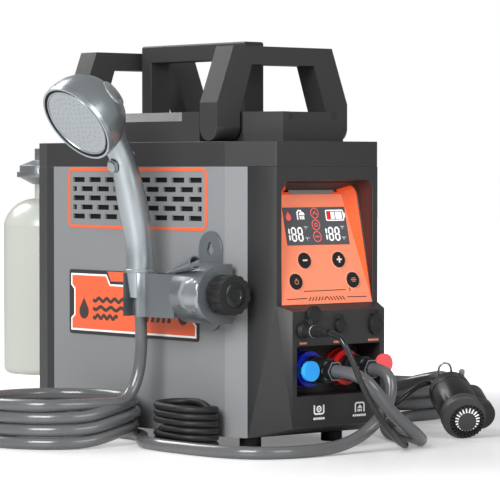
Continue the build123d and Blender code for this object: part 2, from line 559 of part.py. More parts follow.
def deck_outline():
    block_x, notch_y = HALF - 1.0, BLOCK_HALF_Y + NOTCH_LENGTH
    half = [(block_x, BLOCK_HALF_Y), (NECK_HALF, BLOCK_HALF_Y), (NECK_HALF, notch_y),
            (NOSE_HALF, notch_y + NOSE_LENGTH)]
    points = list(half) + [(-x, y) for x, y in reversed(half)]
    return points + [(-x, -y) for x, y in half] + [(x, -y) for x, y in reversed(half)]


def deck():
    face = Polygon(*deck_outline(), align=None)
    block = Pos(0, 0, CAP_TOP) * extrude(face, DECK_HEIGHT, dir=(0, 0, 1))
    inner = offset(face, -MOULD * 1.5, kind=Kind.INTERSECTION)
    block -= Pos(0, 0, CAP_TOP) * extrude(inner, DECK_HEIGHT - 11.0, dir=(0, 0, 1))
    bevel, drop = 7.0, 9.2
    low = DECK_TOP - drop * (1 + 1 / bevel)
    for side in (-1, 1):
        x = side * (HALF - 1.0)
        corner = [(x - side * bevel, DECK_TOP), (x + side, DECK_TOP + 1), (x + side, low)]
        block -= prism_y(corner, -70.0, 62.0)
        y = side * (BLOCK_HALF_Y + NOTCH_LENGTH + NOSE_LENGTH)
        corner = [(y - side * bevel, DECK_TOP), (y + side, DECK_TOP + 1), (y + side, low)]
        block -= prism_x(corner, -32.0, 32.0)
    for pin in pin_rods():
        block += pin
    return block


def pin_rods(grow=0.0):
    """Moulded pins beside the neck of the deck; the folding grips turn on them."""
    pins = []
    for y in (-BAIL_Y, BAIL_Y):
        for side in (-1, 1):
            pins.append(rod((side * (NECK_HALF - 2.0), y, PIVOT_Z),
                            (side * (NECK_HALF + BAIL_LEG - 5 + 5 * grow), y, PIVOT_Z), PIN_R + grow))
    return pins


def carry_handle():
    y0, y1 = CARRY_FRONT_Y, CARRY_REAR_Y
    handle = box(-CARRY_HALF, CARRY_HALF, y0, y1, DECK_TOP, CARRY_TOP)
    handle -= box(-CARRY_HALF - 1, CARRY_HALF + 1, y0 + CARRY_POST, y1 - CARRY_POST, DECK_TOP - 1,
                  CARRY_TOP - CARRY_BAR)
    edges = handle.edges().filter_by(Axis.Y).group_by(Axis.Z)[-1]
    return chamfer(edges, 1.5)


def bail(y):
    """Folding grip: a trapezoid loop whose legs turn on pins beside the deck."""
    inner_x, inner_low_z = HALF - BAIL_LEG, BAIL_BEND_Z - 9.0
    outer = [(-HALF, PIVOT_Z), (-HALF, BAIL_BEND_Z), (-BAIL_TOP_HALF, BAIL_TOP), (BAIL_TOP_HALF, BAIL_TOP),
             (HALF, BAIL_BEND_Z), (HALF, PIVOT_Z)]
    inner = [(inner_x, PIVOT_Z), (inner_x, inner_low_z), (BAIL_INNER_TOP, BAIL_TOP - BAIL_BAR),
             (-BAIL_INNER_TOP, BAIL_TOP - BAIL_BAR), (-inner_x, inner_low_z), (-inner_x, PIVOT_Z)]
    loop = prism_y(outer + inner, y - BAIL_THICK / 2, y + BAIL_THICK / 2)
    for side in (-1, 1):
        loop += rod((side * inner_x, y, PIVOT_Z), (side * HALF, y, PIVOT_Z), BAIL_THICK / 2)
    for pin in pin_rods(PIN_CLEAR):
        loop -= pin
    return loop


# Gas side

def gas_cylinder():
    low, high, wall = CYLINDER_LOW, CYLINDER_HIGH, CYLINDER_WALL
    shoulder, foot = 30.0, 8.0
    crown_r, crown_drop = CYLINDER_R * 0.76, 9.0
    bend = foot * sin(radians(45))
    profile = Polyline((0, low), (CYLINDER_R - foot, low))
    profile += ThreePointArc((CYLINDER_R - foot, low), (CYLINDER_R - foot + bend, low + foot - bend),
                             (CYLINDER_R, low + foot))
    profile += Line((CYLINDER_R, low + foot), (CYLINDER_R, high - shoulder))
    profile += ThreePointArc((CYLINDER_R, high - shoulder), (crown_r, high - crown_drop), (NECK_R, high))
    profile += Polyline((NECK_R, high), (NECK_R, NECK_TOP - FIT), (0, NECK_TOP - FIT), (0, low))
    tank = Pos(0, CYLINDER_Y, 0) * revolve(make_face(Plane.XZ * profile), Axis.Z)
    hollow = [(low + wall, low + foot + 1, CYLINDER_R - foot),
              (low + foot, high - shoulder, CYLINDER_R - wall),
              (high - shoulder - 1, high - crown_drop - 1.2 * wall, crown_r - wall)]
    for z0, z1, radius in hollow:
        tank -= rod((0, CYLINDER_Y, z0), (0, CYLINDER_Y, z1), radius)
    return tank - rod((0, CYLINDER_Y, high - shoulder - 3), (0, CYLINDER_Y, NECK_TOP + 1), STUB_R + 0.05)


def regulator_body():
    """Regulator with its threaded stub in the neck of the cylinder and the spindle for the knob."""
    y = CYLINDER_Y
    body = rod((0, y, REGULATOR_LOW), (0, y, FLANGE_Z), NECK_R + 2, REGULATOR_R)
    body += rod((0, y, FLANGE_Z), (0, y, FLANGE_Z + FLANGE_THICK), FLANGE_R)
    body += rod((0, y, FLANGE_Z + FLANGE_THICK), (0, y, REGULATOR_TOP - 6), REGULATOR_R)
    body += rod((0, y, REGULATOR_TOP - 6), (0, y, REGULATOR_TOP), REGULATOR_R, KNOB_R + 2)
    body += rod((0, y, REGULATOR_TOP - 1), (0, y, REGULATOR_TOP + 8), 5.0)
    return body + rod((0, y, REGULATOR_LOW - STUB_LENGTH), (0, y, REGULATOR_LOW + 1), STUB_R)


def regulator_knob():
    z0 = REGULATOR_TOP + FIT
    knob = rod((0, CYLINDER_Y, z0), (0, CYLINDER_Y, z0 + KNOB_HEIGHT), KNOB_R)
    knob -= rod((0, CYLINDER_Y, z0 - 1), (0, CYLINDER_Y, z0 + 8.2), 5.05)
    return knob


def regulator_arm(body):
    """Pipe and wall flange that carry the regulator behind the cabinet."""
    arm = rod((0, REAR_Y, ARM_Z), (0, CYLINDER_Y - REGULATOR_R + 2, ARM_Z), ARM_R)
    arm += box(-22, 22, REAR_Y, REAR_Y + 4, ARM_Z - 18, ARM_Z + 18)
    arm += rod((0, REAR_Y + 4, ARM_Z), (0, REAR_Y + 10, ARM_Z), ARM_R + 4)
    return arm - body


# Inside the cabinet

BOX_HALF_X, BOX_FRONT_Y, BOX_REAR_Y, BOX_HIGH = 55.0, -70.0, 110.0, 185.0
VALVE_STEP = 40.0  # from the burner box back to the gas valve
CORE_HIGH = 235.0
SHELF_Z = 88.0


def burner_box():
    """Sheet steel stand and open fire box that carry the burner and the core."""
    front, rear = BOX_FRONT_Y, BOX_REAR_Y
    stand = box(-BOX_HALF_X - 8, BOX_HALF_X + 8, front - 8, rear + 8, SHELF_Z - 2, SHELF_Z)
    z0 = FLOOR_GAP + MOULD
    for x in (-BOX_HALF_X - 8, BOX_HALF_X + 6):
        for y in (front - 8, rear - 12):
            stand += box(x, x + 2, y, y + 20, z0, SHELF_Z - 2)
    outer = box(-BOX_HALF_X - 2, BOX_HALF_X + 2, front - 2, rear + 2, SHELF_Z, BOX_HIGH)
    housing = outer - box(-BOX_HALF_X, BOX_HALF_X, front, rear, SHELF_Z - 1, BOX_HIGH + 1)
    housing -= box(-BOX_HALF_X + 8, BOX_HALF_X - 8, front - 5, front + 5, SHELF_Z + 18, SHELF_Z + 40)
    housing -= rod((0, rear - 5, SHELF_Z + 7), (0, rear + 5, SHELF_Z + 7), GAS_PIPE_R)
    return stand + housing


def heat_exchanger():
    """Finned copper core on the fire box."""
    core = box(-BOX_HALF_X - 2, BOX_HALF_X + 2, BOX_FRONT_Y - 2, BOX_REAR_Y + 2, BOX_HIGH, BOX_HIGH + 4)
    core -= box(-BOX_HALF_X + 4, BOX_HALF_X - 4, BOX_FRONT_Y + 4, BOX_REAR_Y - 4, BOX_HIGH - 1, BOX_HIGH + 5)
    fin_pitch = 12.0
    count = int((BOX_REAR_Y - BOX_FRONT_Y - 12) / fin_pitch)
    for index in range(count + 1):
        y = BOX_FRONT_Y + 6 + index * fin_pitch
        core += box(-BOX_HALF_X, BOX_HALF_X, y, y + 1.0, BOX_HIGH + 2, CORE_HIGH)
    for x in (-35.0, 0.0, 35.0):
        core += rod((x, BOX_FRONT_Y - 6, BOX_HIGH + 25), (x, BOX_REAR_Y + 6, BOX_HIGH + 25), 8.0)
    return core


def burner():
    """Gas manifold with a row of burner bars on the shelf."""
    part = box(-40, 40, BOX_REAR_Y - 14, BOX_REAR_Y - 2, SHELF_Z, SHELF_Z + 14)
    for index in range(6):
        x = -37.5 + 15.0 * index
        part += box(x - 4, x + 4, BOX_FRONT_Y + 10, BOX_REAR_Y - 14, SHELF_Z, SHELF_Z + 16)
    return part


def gas_valve():
    """Solenoid gas valve on the floor of the cabinet, its feed from the regulator and its outlet pipe."""
    z0, y = FLOOR_GAP + MOULD, BOX_REAR_Y + VALVE_STEP
    valve = box(-15, 15, y - 15, y + 15, z0, z0 + 30) + rod((0, y - 4, z0 + 30), (0, y - 4, z0 + 48), 10.0)
    outlet = [(0, y - 15, z0 + 12), (0, y - 32, z0 + 12), (0, y - 32, SHELF_Z - 20), (0, y - 22, SHELF_Z + 7),
              (0, BOX_REAR_Y - 2, SHELF_Z + 7)]
    feed = [(0, y + 15, z0 + 12), (0, y + 31, z0 + 12), (0, y + 31, FEED_Z), (0, REAR_Y, FEED_Z)]
    return valve + bent_pipe(outlet, GAS_PIPE_R) + bent_pipe(feed, GAS_PIPE_R)


def water_pipes():
    """Copper pipes from the two fittings up to the core."""
    pipes = []
    for port_x, core_x in ((INLET_X, -35.0), (OUTLET_X, 35.0)):
        front = BOX_FRONT_Y - 40
        points = [(port_x, ALCOVE_BACK_Y + 14, FITTING_Z), (port_x, front, FITTING_Z),
                  (core_x, front, FITTING_Z + 60), (core_x, front, BOX_HIGH + 25),
                  (core_x, BOX_FRONT_Y - 6, BOX_HIGH + 25)]
        pipes.append(bent_pipe(points, 6.0))
    return Compound(children=pipes)


def bent_pipe(points, radius):
    path = FilletPolyline(*points, radius=1.6 * radius)
    start = Vector(*points[0])
    plane = Plane(origin=start, z_dir=Vector(*points[1]) - start)
    return sweep(plane * Circle(radius), path=path)


def battery_pack():
    z0 = FLOOR_GAP + MOULD
    return box(-60, 60, -150, -100, z0, z0 + 38)


# Shower holder and handset

def holder_bracket():
    """Wall plate with a keyhole and the U-shaped strap that the tilting arm turns in."""
    middle = (PLATE_LOW + PLATE_HIGH) / 2
    plane = Plane(origin=(-HALF, PLATE_Y, middle), x_dir=(0, 0, 1), z_dir=(-1, 0, 0))
    plate = extrude(plane * SlotOverall(PLATE_HIGH - PLATE_LOW, PLATE_WIDTH), PLATE_THICK)
    hole_z = PLATE_HIGH - 14.0
    plate -= rod((-HALF - 10, PLATE_Y, hole_z), (-HALF + 1, PLATE_Y, hole_z), 3.2)
    plate -= rod((-HALF - 10, PLATE_Y, hole_z - 5), (-HALF + 1, PLATE_Y, hole_z - 5), 5.0)
    outer, inner = strap_block(STRAP_R), strap_block(STRAP_R - STRAP_THICK)
    strap = (outer - inner) & box(-HOLDER_REACH, 0, STRAP_FRONT_Y, STRAP_REAR_Y, 0, HOLDER_REACH)
    end = outer & box(-HOLDER_REACH, 0, STRAP_FRONT_Y - STRAP_END, STRAP_FRONT_Y, 0, HOLDER_REACH)
    end -= rod((PIVOT_X, STRAP_FRONT_Y - 10, TILT_Z), (PIVOT_X, STRAP_FRONT_Y + 10, TILT_Z),
               BOLT_R + PIN_CLEAR)
    return plate + strap + end


def strap_block(radius):
    """Round-ended block between the arm's pivot and the wall plate."""
    y0, y1 = STRAP_FRONT_Y - STRAP_END, STRAP_REAR_Y
    block = box(PIVOT_X, -HALF - PLATE_THICK, y0, y1, TILT_Z - radius, TILT_Z + radius)
    block += rod((PIVOT_X, y0, TILT_Z), (PIVOT_X, y1, TILT_Z), radius)
    return block & box(-HOLDER_REACH, -HALF - PLATE_THICK + 0.2, y0, y1, 0, HOLDER_REACH)


HUB_FRONT_Y, HUB_REAR_Y = STRAP_FRONT_Y + 1.0, STRAP_REAR_Y + 8.0
KNOB_BACK_Y = STRAP_FRONT_Y - STRAP_END - HAND_KNOB_GAP
KNOB_FRONT_Y = KNOB_BACK_Y - HAND_KNOB_LENGTH


def pivot_bolt():
    return rod((PIVOT_X, KNOB_FRONT_Y + 6, TILT_Z), (PIVOT_X, HUB_REAR_Y - 4, TILT_Z), BOLT_R)


def holder_arm():
    """Pivot hub, flat arm with a rolled edge and the open clip that holds the hose nut."""
    hub = rod((PIVOT_X, HUB_FRONT_Y, TILT_Z), (PIVOT_X, HUB_REAR_Y, TILT_Z), HUB_R)
    x0, x1 = STRIP_X - STRIP_THICK / 2, STRIP_X + STRIP_THICK / 2
    web = box(x0, PIVOT_X, STRAP_REAR_Y + 1.0, HUB_REAR_Y, TILT_Z - 12, TILT_Z + 12)
    strip = box(x0, x1, STRAP_REAR_Y + 1.0, CLIP_Y - CLIP_R + 4, CLIP_LOW, CLIP_HIGH)
    clip = rod((CLIP_X, CLIP_Y, CLIP_LOW), (CLIP_X, CLIP_Y, CLIP_HIGH), CLIP_R)
    arm = hub + web + strip + clip
    inner_low = CONE_LOW_R + (CONE_HIGH_R - CONE_LOW_R) * -0.04
    arm -= rod((CLIP_X, CLIP_Y, CONE_LOW - 1), (CLIP_X, CLIP_Y, CLIP_HIGH), inner_low + FIT,
               CONE_HIGH_R + FIT)
    arm -= rod((CLIP_X, CLIP_Y, CLIP_LOW - 1), (CLIP_X, CLIP_Y, CONE_LOW), CONE_LOW_R)
    arm -= box(CLIP_X - CLIP_R - 9, CLIP_X, CLIP_Y - CLIP_SLOT / 2, CLIP_Y + CLIP_SLOT / 2, CLIP_LOW - 1,
               CLIP_HIGH + 1)
    arm -= rod((PIVOT_X, HUB_FRONT_Y - 2, TILT_Z), (PIVOT_X, HUB_REAR_Y - 3.5, TILT_Z), BOLT_R + PIN_CLEAR)
    return arm


def holder_knob():
    knob = rod((PIVOT_X, KNOB_BACK_Y, TILT_Z), (PIVOT_X, KNOB_FRONT_Y, TILT_Z), HAND_KNOB_R)
    for index in range(FLUTES):
        angle = 2 * pi * index / FLUTES
        x = PIVOT_X + (HAND_KNOB_R + 1.4) * cos(angle)
        z = TILT_Z + (HAND_KNOB_R + 1.4) * sin(angle)
        knob -= rod((x, KNOB_BACK_Y + 1, z), (x, KNOB_FRONT_Y - 1, z), 2.6)
    return knob - rod((PIVOT_X, KNOB_BACK_Y + 1, TILT_Z), (PIVOT_X, KNOB_FRONT_Y + 6, TILT_Z), BOLT_R)


def head_plane():
    tilt = radians(HEAD_TILT)
    return Plane(origin=(HEAD_X, CLIP_Y, HEAD_Z), x_dir=(0, 1, 0), z_dir=(cos(tilt), 0, sin(tilt)))


def handset_shell():
    """Handle and head shell."""
    sections, core = [], []
    for index, (x, z, radius) in enumerate(HANDLE):
        before, after = HANDLE[max(index - 1, 0)], HANDLE[min(index + 1, len(HANDLE) - 1)]
        direction = Vector(after[0] - before[0], 0, after[1] - before[1])
        if index == 0:
            direction = Vector(0, 0, 1)
        plane = Plane(origin=(x, CLIP_Y, z), x_dir=(0, 1, 0), z_dir=direction)
        sections.append(plane * Circle(radius))
        if index > 0:
            core.append(plane * Circle(radius - HANDSET_WALL))
    handle = loft(sections)
    handle_core = loft(core)
    rim = HEAD_R - 2.5
    top_r, top_t = HEAD_PROFILE[-1]
    outline_line = Polyline((0, FACE_SEAT), (rim, FACE_SEAT), (rim, 0), (HEAD_R - 0.5, 0), HEAD_PROFILE[0])
    outline_line += Spline(*HEAD_PROFILE)
    outline_line += Polyline((top_r, top_t), (BACK_CAP_R + 0.5, top_t), (0, top_t), (0, FACE_SEAT))
    head = head_plane() * revolve(make_face(Plane.XZ * outline_line), Axis.Z)
    inner = [(radius - HANDSET_WALL, depth) for radius, depth in HEAD_PROFILE]
    low_t, high_t = FACE_SEAT + HANDSET_WALL, top_t - HANDSET_WALL
    bowl = Polyline((0, low_t), (inner[0][0], low_t), inner[1])
    bowl += Polyline(*inner[1:-1], (inner[-1][0], high_t))
    bowl += Polyline((inner[-1][0], high_t), (0, high_t), (0, low_t))
    head_core = head_plane() * revolve(make_face(Plane.XZ * bowl), Axis.Z)
    shell = handle + head - handle_core - head_core
    return shell - press_rod(-8.0, 14.0, PRESS_R + FIT)


def handset_nut():
    """Cone nut of the shower hose, seated in the clip below the handle."""
    nut = rod((CLIP_X, CLIP_Y, CONE_LOW), (CLIP_X, CLIP_Y, CLIP_HIGH), CONE_LOW_R, CONE_HIGH_R)
    return nut - rod((CLIP_X, CLIP_Y, CONE_LOW - 1), (CLIP_X, CLIP_Y, CONE_LOW + 6), HOSE_R + FIT)


def handset_face():
    """Spray plate in the rim and the light disc on the back of the head."""
    disc = head_plane() * Pos(0, 0, FACE_SEAT - FACE_THICK / 2) * Cylinder(HEAD_R - 2.8, FACE_THICK)
    back = head_plane() * Pos(0, 0, HEAD_PROFILE[-1][1] + BACK_CAP_THICK / 2)
    return Compound(children=[disc, back * Cylinder(BACK_CAP_R, BACK_CAP_THICK)])


PRESS_POINT = (-158.5, 283.0)
PRESS_AXIS = (-0.93, 0.0, -0.37)


def press_rod(start, end, radius):
    axis = Vector(*PRESS_AXIS)
    base = Vector(PRESS_POINT[0], CLIP_Y, PRESS_POINT[1])
    return rod(tuple(base + axis * start), tuple(base + axis * end), radius)


def handset_button():
    return press_rod(-6.0, 2.0, PRESS_R)


# Pump

def pump_plane():
    """Plane on the strainer end of the pump; its X looks towards the side lobe."""
    axis = Vector(*PUMP_AXIS).normalized()
    return Plane(origin=PUMP_BASE, x_dir=Vector(axis.Y, -axis.X, 0), z_dir=axis)


def pump_point(x, y, z):
    plane = pump_plane()
    place = plane.origin + plane.x_dir * x + plane.y_dir * y + plane.z_dir * z
    return (place.X, place.Y, place.Z)


def pump_body():
    """Submersible pump: barrel with a side lobe, hose spigot and cable gland."""
    barrel_length = PUMP_LENGTH - STRAINER_DEPTH - 12
    body = Pos(0, 0, STRAINER_DEPTH + barrel_length / 2) * Cylinder(PUMP_R, barrel_length)
    body += Pos(LOBE_OUT, 0, LOBE_LOW + LOBE_LENGTH / 2) * Cylinder(LOBE_R, LOBE_LENGTH)
    body += Pos(0, 0, PUMP_LENGTH - 12 + 4) * Cone(PUMP_R, PUMP_R - 8, 8)
    body += Pos(6, 0, PUMP_LENGTH - 4 + 3) * Cylinder(INLET_HOSE_R + 1.8, 6)
    body += Pos(-10, 0, PUMP_LENGTH - 4 + 2) * Cylinder(CABLE_R + 1.5, 4)
    return pump_plane() * body


def pump_strainer():
    """Foot of the pump with radial inlet slots round a small hub."""
    foot = Pos(0, 0, STRAINER_DEPTH / 2) * Cylinder(STRAINER_R, STRAINER_DEPTH)
    foot -= Pos(0, 0, STRAINER_DEPTH - 3) * Cylinder(STRAINER_R - 4, 10)
    for index in range(16):
        foot -= Rot(0, 0, 22.5 * index) * Pos(12.2, 0, 1) * Box(8.5, 2.4, 8)
    return pump_plane() * foot


# Hoses and cable

def corner_radii(points):
    """Arc for each corner of a route, as large as its two runs allow."""
    radii = []
    for before, here, after in zip(points, points[1:], points[2:]):
        first, second = Vector(*here) - Vector(*before), Vector(*after) - Vector(*here)
        turn = radians(first.get_angle(second))
        radii.append(0.45 * min(first.length, second.length) / tan(turn / 2))
    return radii


def tube(name, points, radius):
    radii = corner_radii(points)
    path = FilletPolyline(*points, radius=radii)
    start = Vector(*points[0])
    plane = Plane(origin=start, z_dir=Vector(*points[1]) - start)
    solid = sweep(plane * Circle(radius), path=path)
    ratio = solid.volume / (pi * radius * radius * path.length)
    print(f"{name}: length {path.length:.0f}, least radius {min(radii):.1f} "
          f"({min(radii) / (2 * radius):.1f} diameters), volume ratio {ratio:.3f}")
    print("   radii", [round(r) for r in radii])
    return solid


def coil(x, y, mean, layers, radius):
    """Outer shape of a stack of turns that lies on the floor."""
    height = 2 * radius * layers
    ring = Cylinder(mean + radius, height) - Cylinder(mean - radius, height + 2)
    return Pos(x, y, height / 2) * ring


def lead_hank():
    """Outer shape of the supply lead wound to an oval beside the cabinet."""
    height = 2 * LEAD_R * HANK_LAYERS
    outer = SlotOverall(2 * HANK_HALF, 2 * HANK_END, rotation=90)
    inner = SlotOverall(2 * HANK_HALF - 4 * LEAD_R, 2 * HANK_END - 4 * LEAD_R, rotation=90)
    return Pos(HANK_X, HANK_Y, 0) * extrude(outer - inner, height, dir=(0, 0, 1))


def supply_plug():
    """Low-voltage plug lying on the floor inside the oval."""
    x, y, z = PLUG_TAIL_ROUTE[0]
    plug = rod((x, y, z), (x, y - 22.0, z), 5.5) + rod((x, y - 22.0, z), (x, y - 32.0, z), 2.8)
    return plug - rod((x, y + 1, z), (x, y - 6, z), LEAD_R)


def supply_lead():
    """Lead from the side panel into the oval, the free end to the plug, and the panel's grommet."""
    start = tube("supply_lead", LEAD_ROUTE, LEAD_R)
    grommet = rod((-HALF - 1.5, LEAD_Y, LEAD_Z), (-HALF + 4.0, LEAD_Y, LEAD_Z), LEAD_R + 2.0)
    grommet += rod((-HALF - 1.8, LEAD_Y, LEAD_Z), (-HALF, LEAD_Y, LEAD_Z), LEAD_R + 4.0)
    tail = tube("supply_lead free end", PLUG_TAIL_ROUTE, LEAD_R)
    return Compound(children=[start + grommet, tail])


def pump_cable_route():
    plug_end = (PUMP_SOCKET_X, CONSOLE_Y - 0.6 - PLUG_LENGTH + 5, PUMP_SOCKET_Z)
    return [plug_end] + CABLE_ROUTE + [pump_point(-10, 0, PUMP_LENGTH + 14),
                                       pump_point(-10, 0, PUMP_LENGTH - 4)]


def pump_hose_route():
    return PUMP_HOSE_ROUTE + [pump_point(6, 0, PUMP_LENGTH + 16), pump_point(6, 0, PUMP_LENGTH - 1)]


PARTS = {
    "base_pan": base_pan, "feet": feet, "rear_frame": rear_frame, "top_cap": top_cap, "deck": deck,
    "carry_handle": carry_handle, "badge_plate": badge_plate, "control_overlay": control_overlay,
    "control_board": control_board, "sockets": sockets, "pump_socket_cap": pump_cap, "usb_cap": usb_cap,
    "dc_cap": dc_cap, "pump_plug": pump_plug, "gas_cylinder": gas_cylinder, "regulator_body": regulator_body,
    "regulator_knob": regulator_knob, "burner_box": burner_box, "heat_exchanger": heat_exchanger,
    "burner": burner, "gas_valve": gas_valve, "water_pipes": water_pipes, "battery_pack": battery_pack,
    "holder_bracket": holder_bracket, "pivot_bolt": pivot_bolt, "holder_arm": holder_arm,
    "holder_knob": holder_knob, "handset_shell": handset_shell, "handset_face": handset_face,
    "handset_nut": handset_nut, "handset_button": handset_button, "pump_body": pump_body,
    "pump_strainer": pump_strainer, "supply_lead_hank": lead_hank, "supply_plug": supply_plug,
    "supply_lead": supply_lead,
}

for node, builder in PARTS.items():
    save(node, builder())
for node in BUTTONS:
    save(node, button(node))
for node in DUST_CENTRES:
    save(node, dust_cap(node))
save("left_panel", side_panel(-1))
save("right_panel", side_panel(1))
save("front_bail", bail(-BAIL_Y))
save("rear_bail", bail(BAIL_Y))
moulding = front_frame()
for ear in hinge_ears():
    moulding += ear
save("front_frame", moulding)
save("control_bezel", button_holes(control_bezel(), BUTTON_R + FIT))
save("display_window", window_block(-FIT))
save("inlet_ring", fitting_ring(INLET_X))
save("outlet_ring", fitting_ring(OUTLET_X))
save("inlet_coupler", coupler(INLET_X))
save("outlet_coupler", coupler(OUTLET_X))
save("regulator_arm", regulator_arm(regulator_body()))
save("shower_hose", tube("shower_hose", SHOWER_ROUTE, HOSE_R))
save("shower_hose_riser", tube("shower_hose_riser", RISER_ROUTE, HOSE_R))
save("shower_hose_coil", coil(*SHOWER_COIL, HOSE_R))
inlet_hose = [tube("inlet_hose", INLET_ROUTE, INLET_HOSE_R),
              tube("inlet_hose to pump", pump_hose_route(), INLET_HOSE_R)]
save("inlet_hose", Compound(children=inlet_hose))
save("inlet_hose_coil", coil(*INLET_COIL, INLET_HOSE_R))
save("pump_cable", tube("pump_cable", pump_cable_route(), CABLE_R))
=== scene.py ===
"""Looks of a portable propane water heater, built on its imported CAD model.

Places in this file are in millimetres, in the same frame as the CAD: the origin is on the floor under the
middle of the cabinet, the control face looks along -Y and the shower holder is on the -X side.
"""

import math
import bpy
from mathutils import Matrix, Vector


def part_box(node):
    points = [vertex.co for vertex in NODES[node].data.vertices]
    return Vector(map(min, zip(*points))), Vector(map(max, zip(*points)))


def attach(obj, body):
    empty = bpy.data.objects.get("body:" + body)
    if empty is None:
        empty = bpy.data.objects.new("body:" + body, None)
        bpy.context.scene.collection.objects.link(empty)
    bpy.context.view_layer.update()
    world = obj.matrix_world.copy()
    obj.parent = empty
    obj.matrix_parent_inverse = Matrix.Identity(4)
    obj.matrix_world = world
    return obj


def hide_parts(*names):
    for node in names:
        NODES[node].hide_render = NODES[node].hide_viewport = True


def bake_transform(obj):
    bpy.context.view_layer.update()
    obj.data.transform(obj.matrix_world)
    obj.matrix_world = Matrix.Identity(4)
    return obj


bl_info = {
    "name": "Portable Water Heater",
    "version": (1, 0, 0),
    "blender": (4, 5, 0),
    "location": "View3D > Sidebar > Heater",
    "description": "Finishes, hoses, prints and small pieces of a portable propane water heater",
    "category": "Object",
}

import bmesh
import bpy
from mathutils import Vector

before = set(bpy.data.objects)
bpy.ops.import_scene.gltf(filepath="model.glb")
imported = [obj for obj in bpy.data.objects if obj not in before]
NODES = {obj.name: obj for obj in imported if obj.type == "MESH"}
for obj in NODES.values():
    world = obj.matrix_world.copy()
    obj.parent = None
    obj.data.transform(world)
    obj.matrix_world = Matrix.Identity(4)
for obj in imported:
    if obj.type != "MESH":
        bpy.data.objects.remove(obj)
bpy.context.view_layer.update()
MM = 0.001
CABINET, HOLDER = "cabinet", "shower_holder"
EDGE = 0.9                     # rounding of the moulded edges, which the narrower ones follow


def node_box(node):
    """Lowest and highest corner of a CAD node, in millimetres."""
    return [Vector(corner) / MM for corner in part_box(node)]


def tone(code):
    """Scene colour of a six-digit colour code."""
    parts = [int(code[i:i + 2], 16) / 255 for i in (0, 2, 4)]
    return tuple(c / 12.92 if c <= 0.04045 else ((c + 0.055) / 1.055) ** 2.4 for c in parts)


# Sizes and colours

def colour_property(label, text, code):
    return bpy.props.FloatVectorProperty(
        name=label, description=text, subtype="COLOR", size=3, min=0.0, max=1.0, default=tone(code))


def length_property(label, text, value):
    return bpy.props.FloatProperty(
        name=label, description=text, default=value * MM, min=0.0, subtype="DISTANCE", unit="LENGTH")


def power_property(label, text, value):
    return bpy.props.FloatProperty(name=label, description=text, default=value, min=0.0, unit="POWER")


class HeaterColours(bpy.types.PropertyGroup):
    """Colours of the heater and of what hangs on it."""
    panel: colour_property("Panel", "Powder coat of the two side panels", "7E8082")
    shell: colour_property("Shell", "Moulded frames, cap, deck and handles", "29292A")
    accent: colour_property("Accent", "Vent outline and badge", "E3623A")
    tray: colour_property("Tray", "Moulded border of the control face", "F45A1C")
    sheet: colour_property("Sheet", "Printed sheet of the control face", "FF8E6B")
    window: colour_property("Window", "Display window when it is lit", "54565A")
    hose: colour_property("Hose", "Soft hose", "5A5B5D")
    handset: colour_property("Handset", "Satin shell of the handset", "AEB5B9")
    holder: colour_property("Holder", "Pressed steel of the holder", "81878B")
    cylinder: colour_property("Cylinder", "Enamel of the gas cylinder", "B9BDB5")
    cold: colour_property("Cold side", "Ring of the water inlet", "1A34DC")
    cold_cap: colour_property("Cold cap", "Cap of the water inlet", "2FA4F6")
    hot: colour_property("Hot side", "Ring of the water outlet", "FF2A2A")
    hot_cap: colour_property("Hot cap", "Cap of the water outlet", "F7595C")


class HeaterSizes(bpy.types.PropertyGroup):
    """Sizes that a user would change."""
    hose_diameter: length_property("Shower hose", "Diameter of the shower hose", 12.5)
    inlet_diameter: length_property("Inlet hose", "Diameter of the inlet hose", 13.0)
    cable_diameter: length_property("Pump cable", "Diameter of the pump cable", 6.0)
    lead_diameter: length_property("Supply lead", "Diameter of the supply lead", 7.0)
    edge: length_property("Edge", "Rounding of the moulded edges", EDGE)
    trim_line: length_property("Trim line", "Width of the outline round the vents", 3.4)
    print_rise: length_property("Print rise", "Thickness of the printed marks", 0.15)


class HeaterStage(bpy.types.PropertyGroup):
    """Light of the stage."""
    key: power_property("Key light", "Power of the main lamp", 43.0)
    fill: power_property("Fill light", "Power of the lamp on the control side", 13.0)
    rim: power_property("Rim light", "Power of the lamp behind the heater", 22.0)
    surround: bpy.props.FloatProperty(
        name="Surround", description="Light of the white room", default=0.32, min=0.0)


# Finishes

FINISHES = {}
GRAIN_DEPTH = 0.2
CLOUD_LOW, CLOUD_HIGH = 0.3, 0.7
# What some finishes set beyond the columns of the table below
FINISH_EXTRAS = {
    "niche_reflection": {"Specular_IOR_Level": 0.12},
    "steel": {"stretch": (1.0, 1.0, 12.0)},
    "hose": {"Coat_Weight": 0.3},
    "enamel": {"Coat_Weight": 0.2},
}


def empty_tree(owner):
    """Cleared node tree of a material or a world."""
    owner.use_nodes = True
    owner.node_tree.nodes.clear()
    return owner.node_tree


def shader_node(tree, kind, inputs=None, **settings):
    """New node; each input named here gets a plain value, or is linked to another node's output."""
    node = tree.nodes.new(f"ShaderNode{kind}")
    for setting, value in settings.items():
        setattr(node, setting, value)
    for socket, value in (inputs or {}).items():
        if isinstance(value, bpy.types.NodeSocket):
            tree.links.new(value, node.inputs[socket])
        else:
            node.inputs[socket].default_value = value
    return node


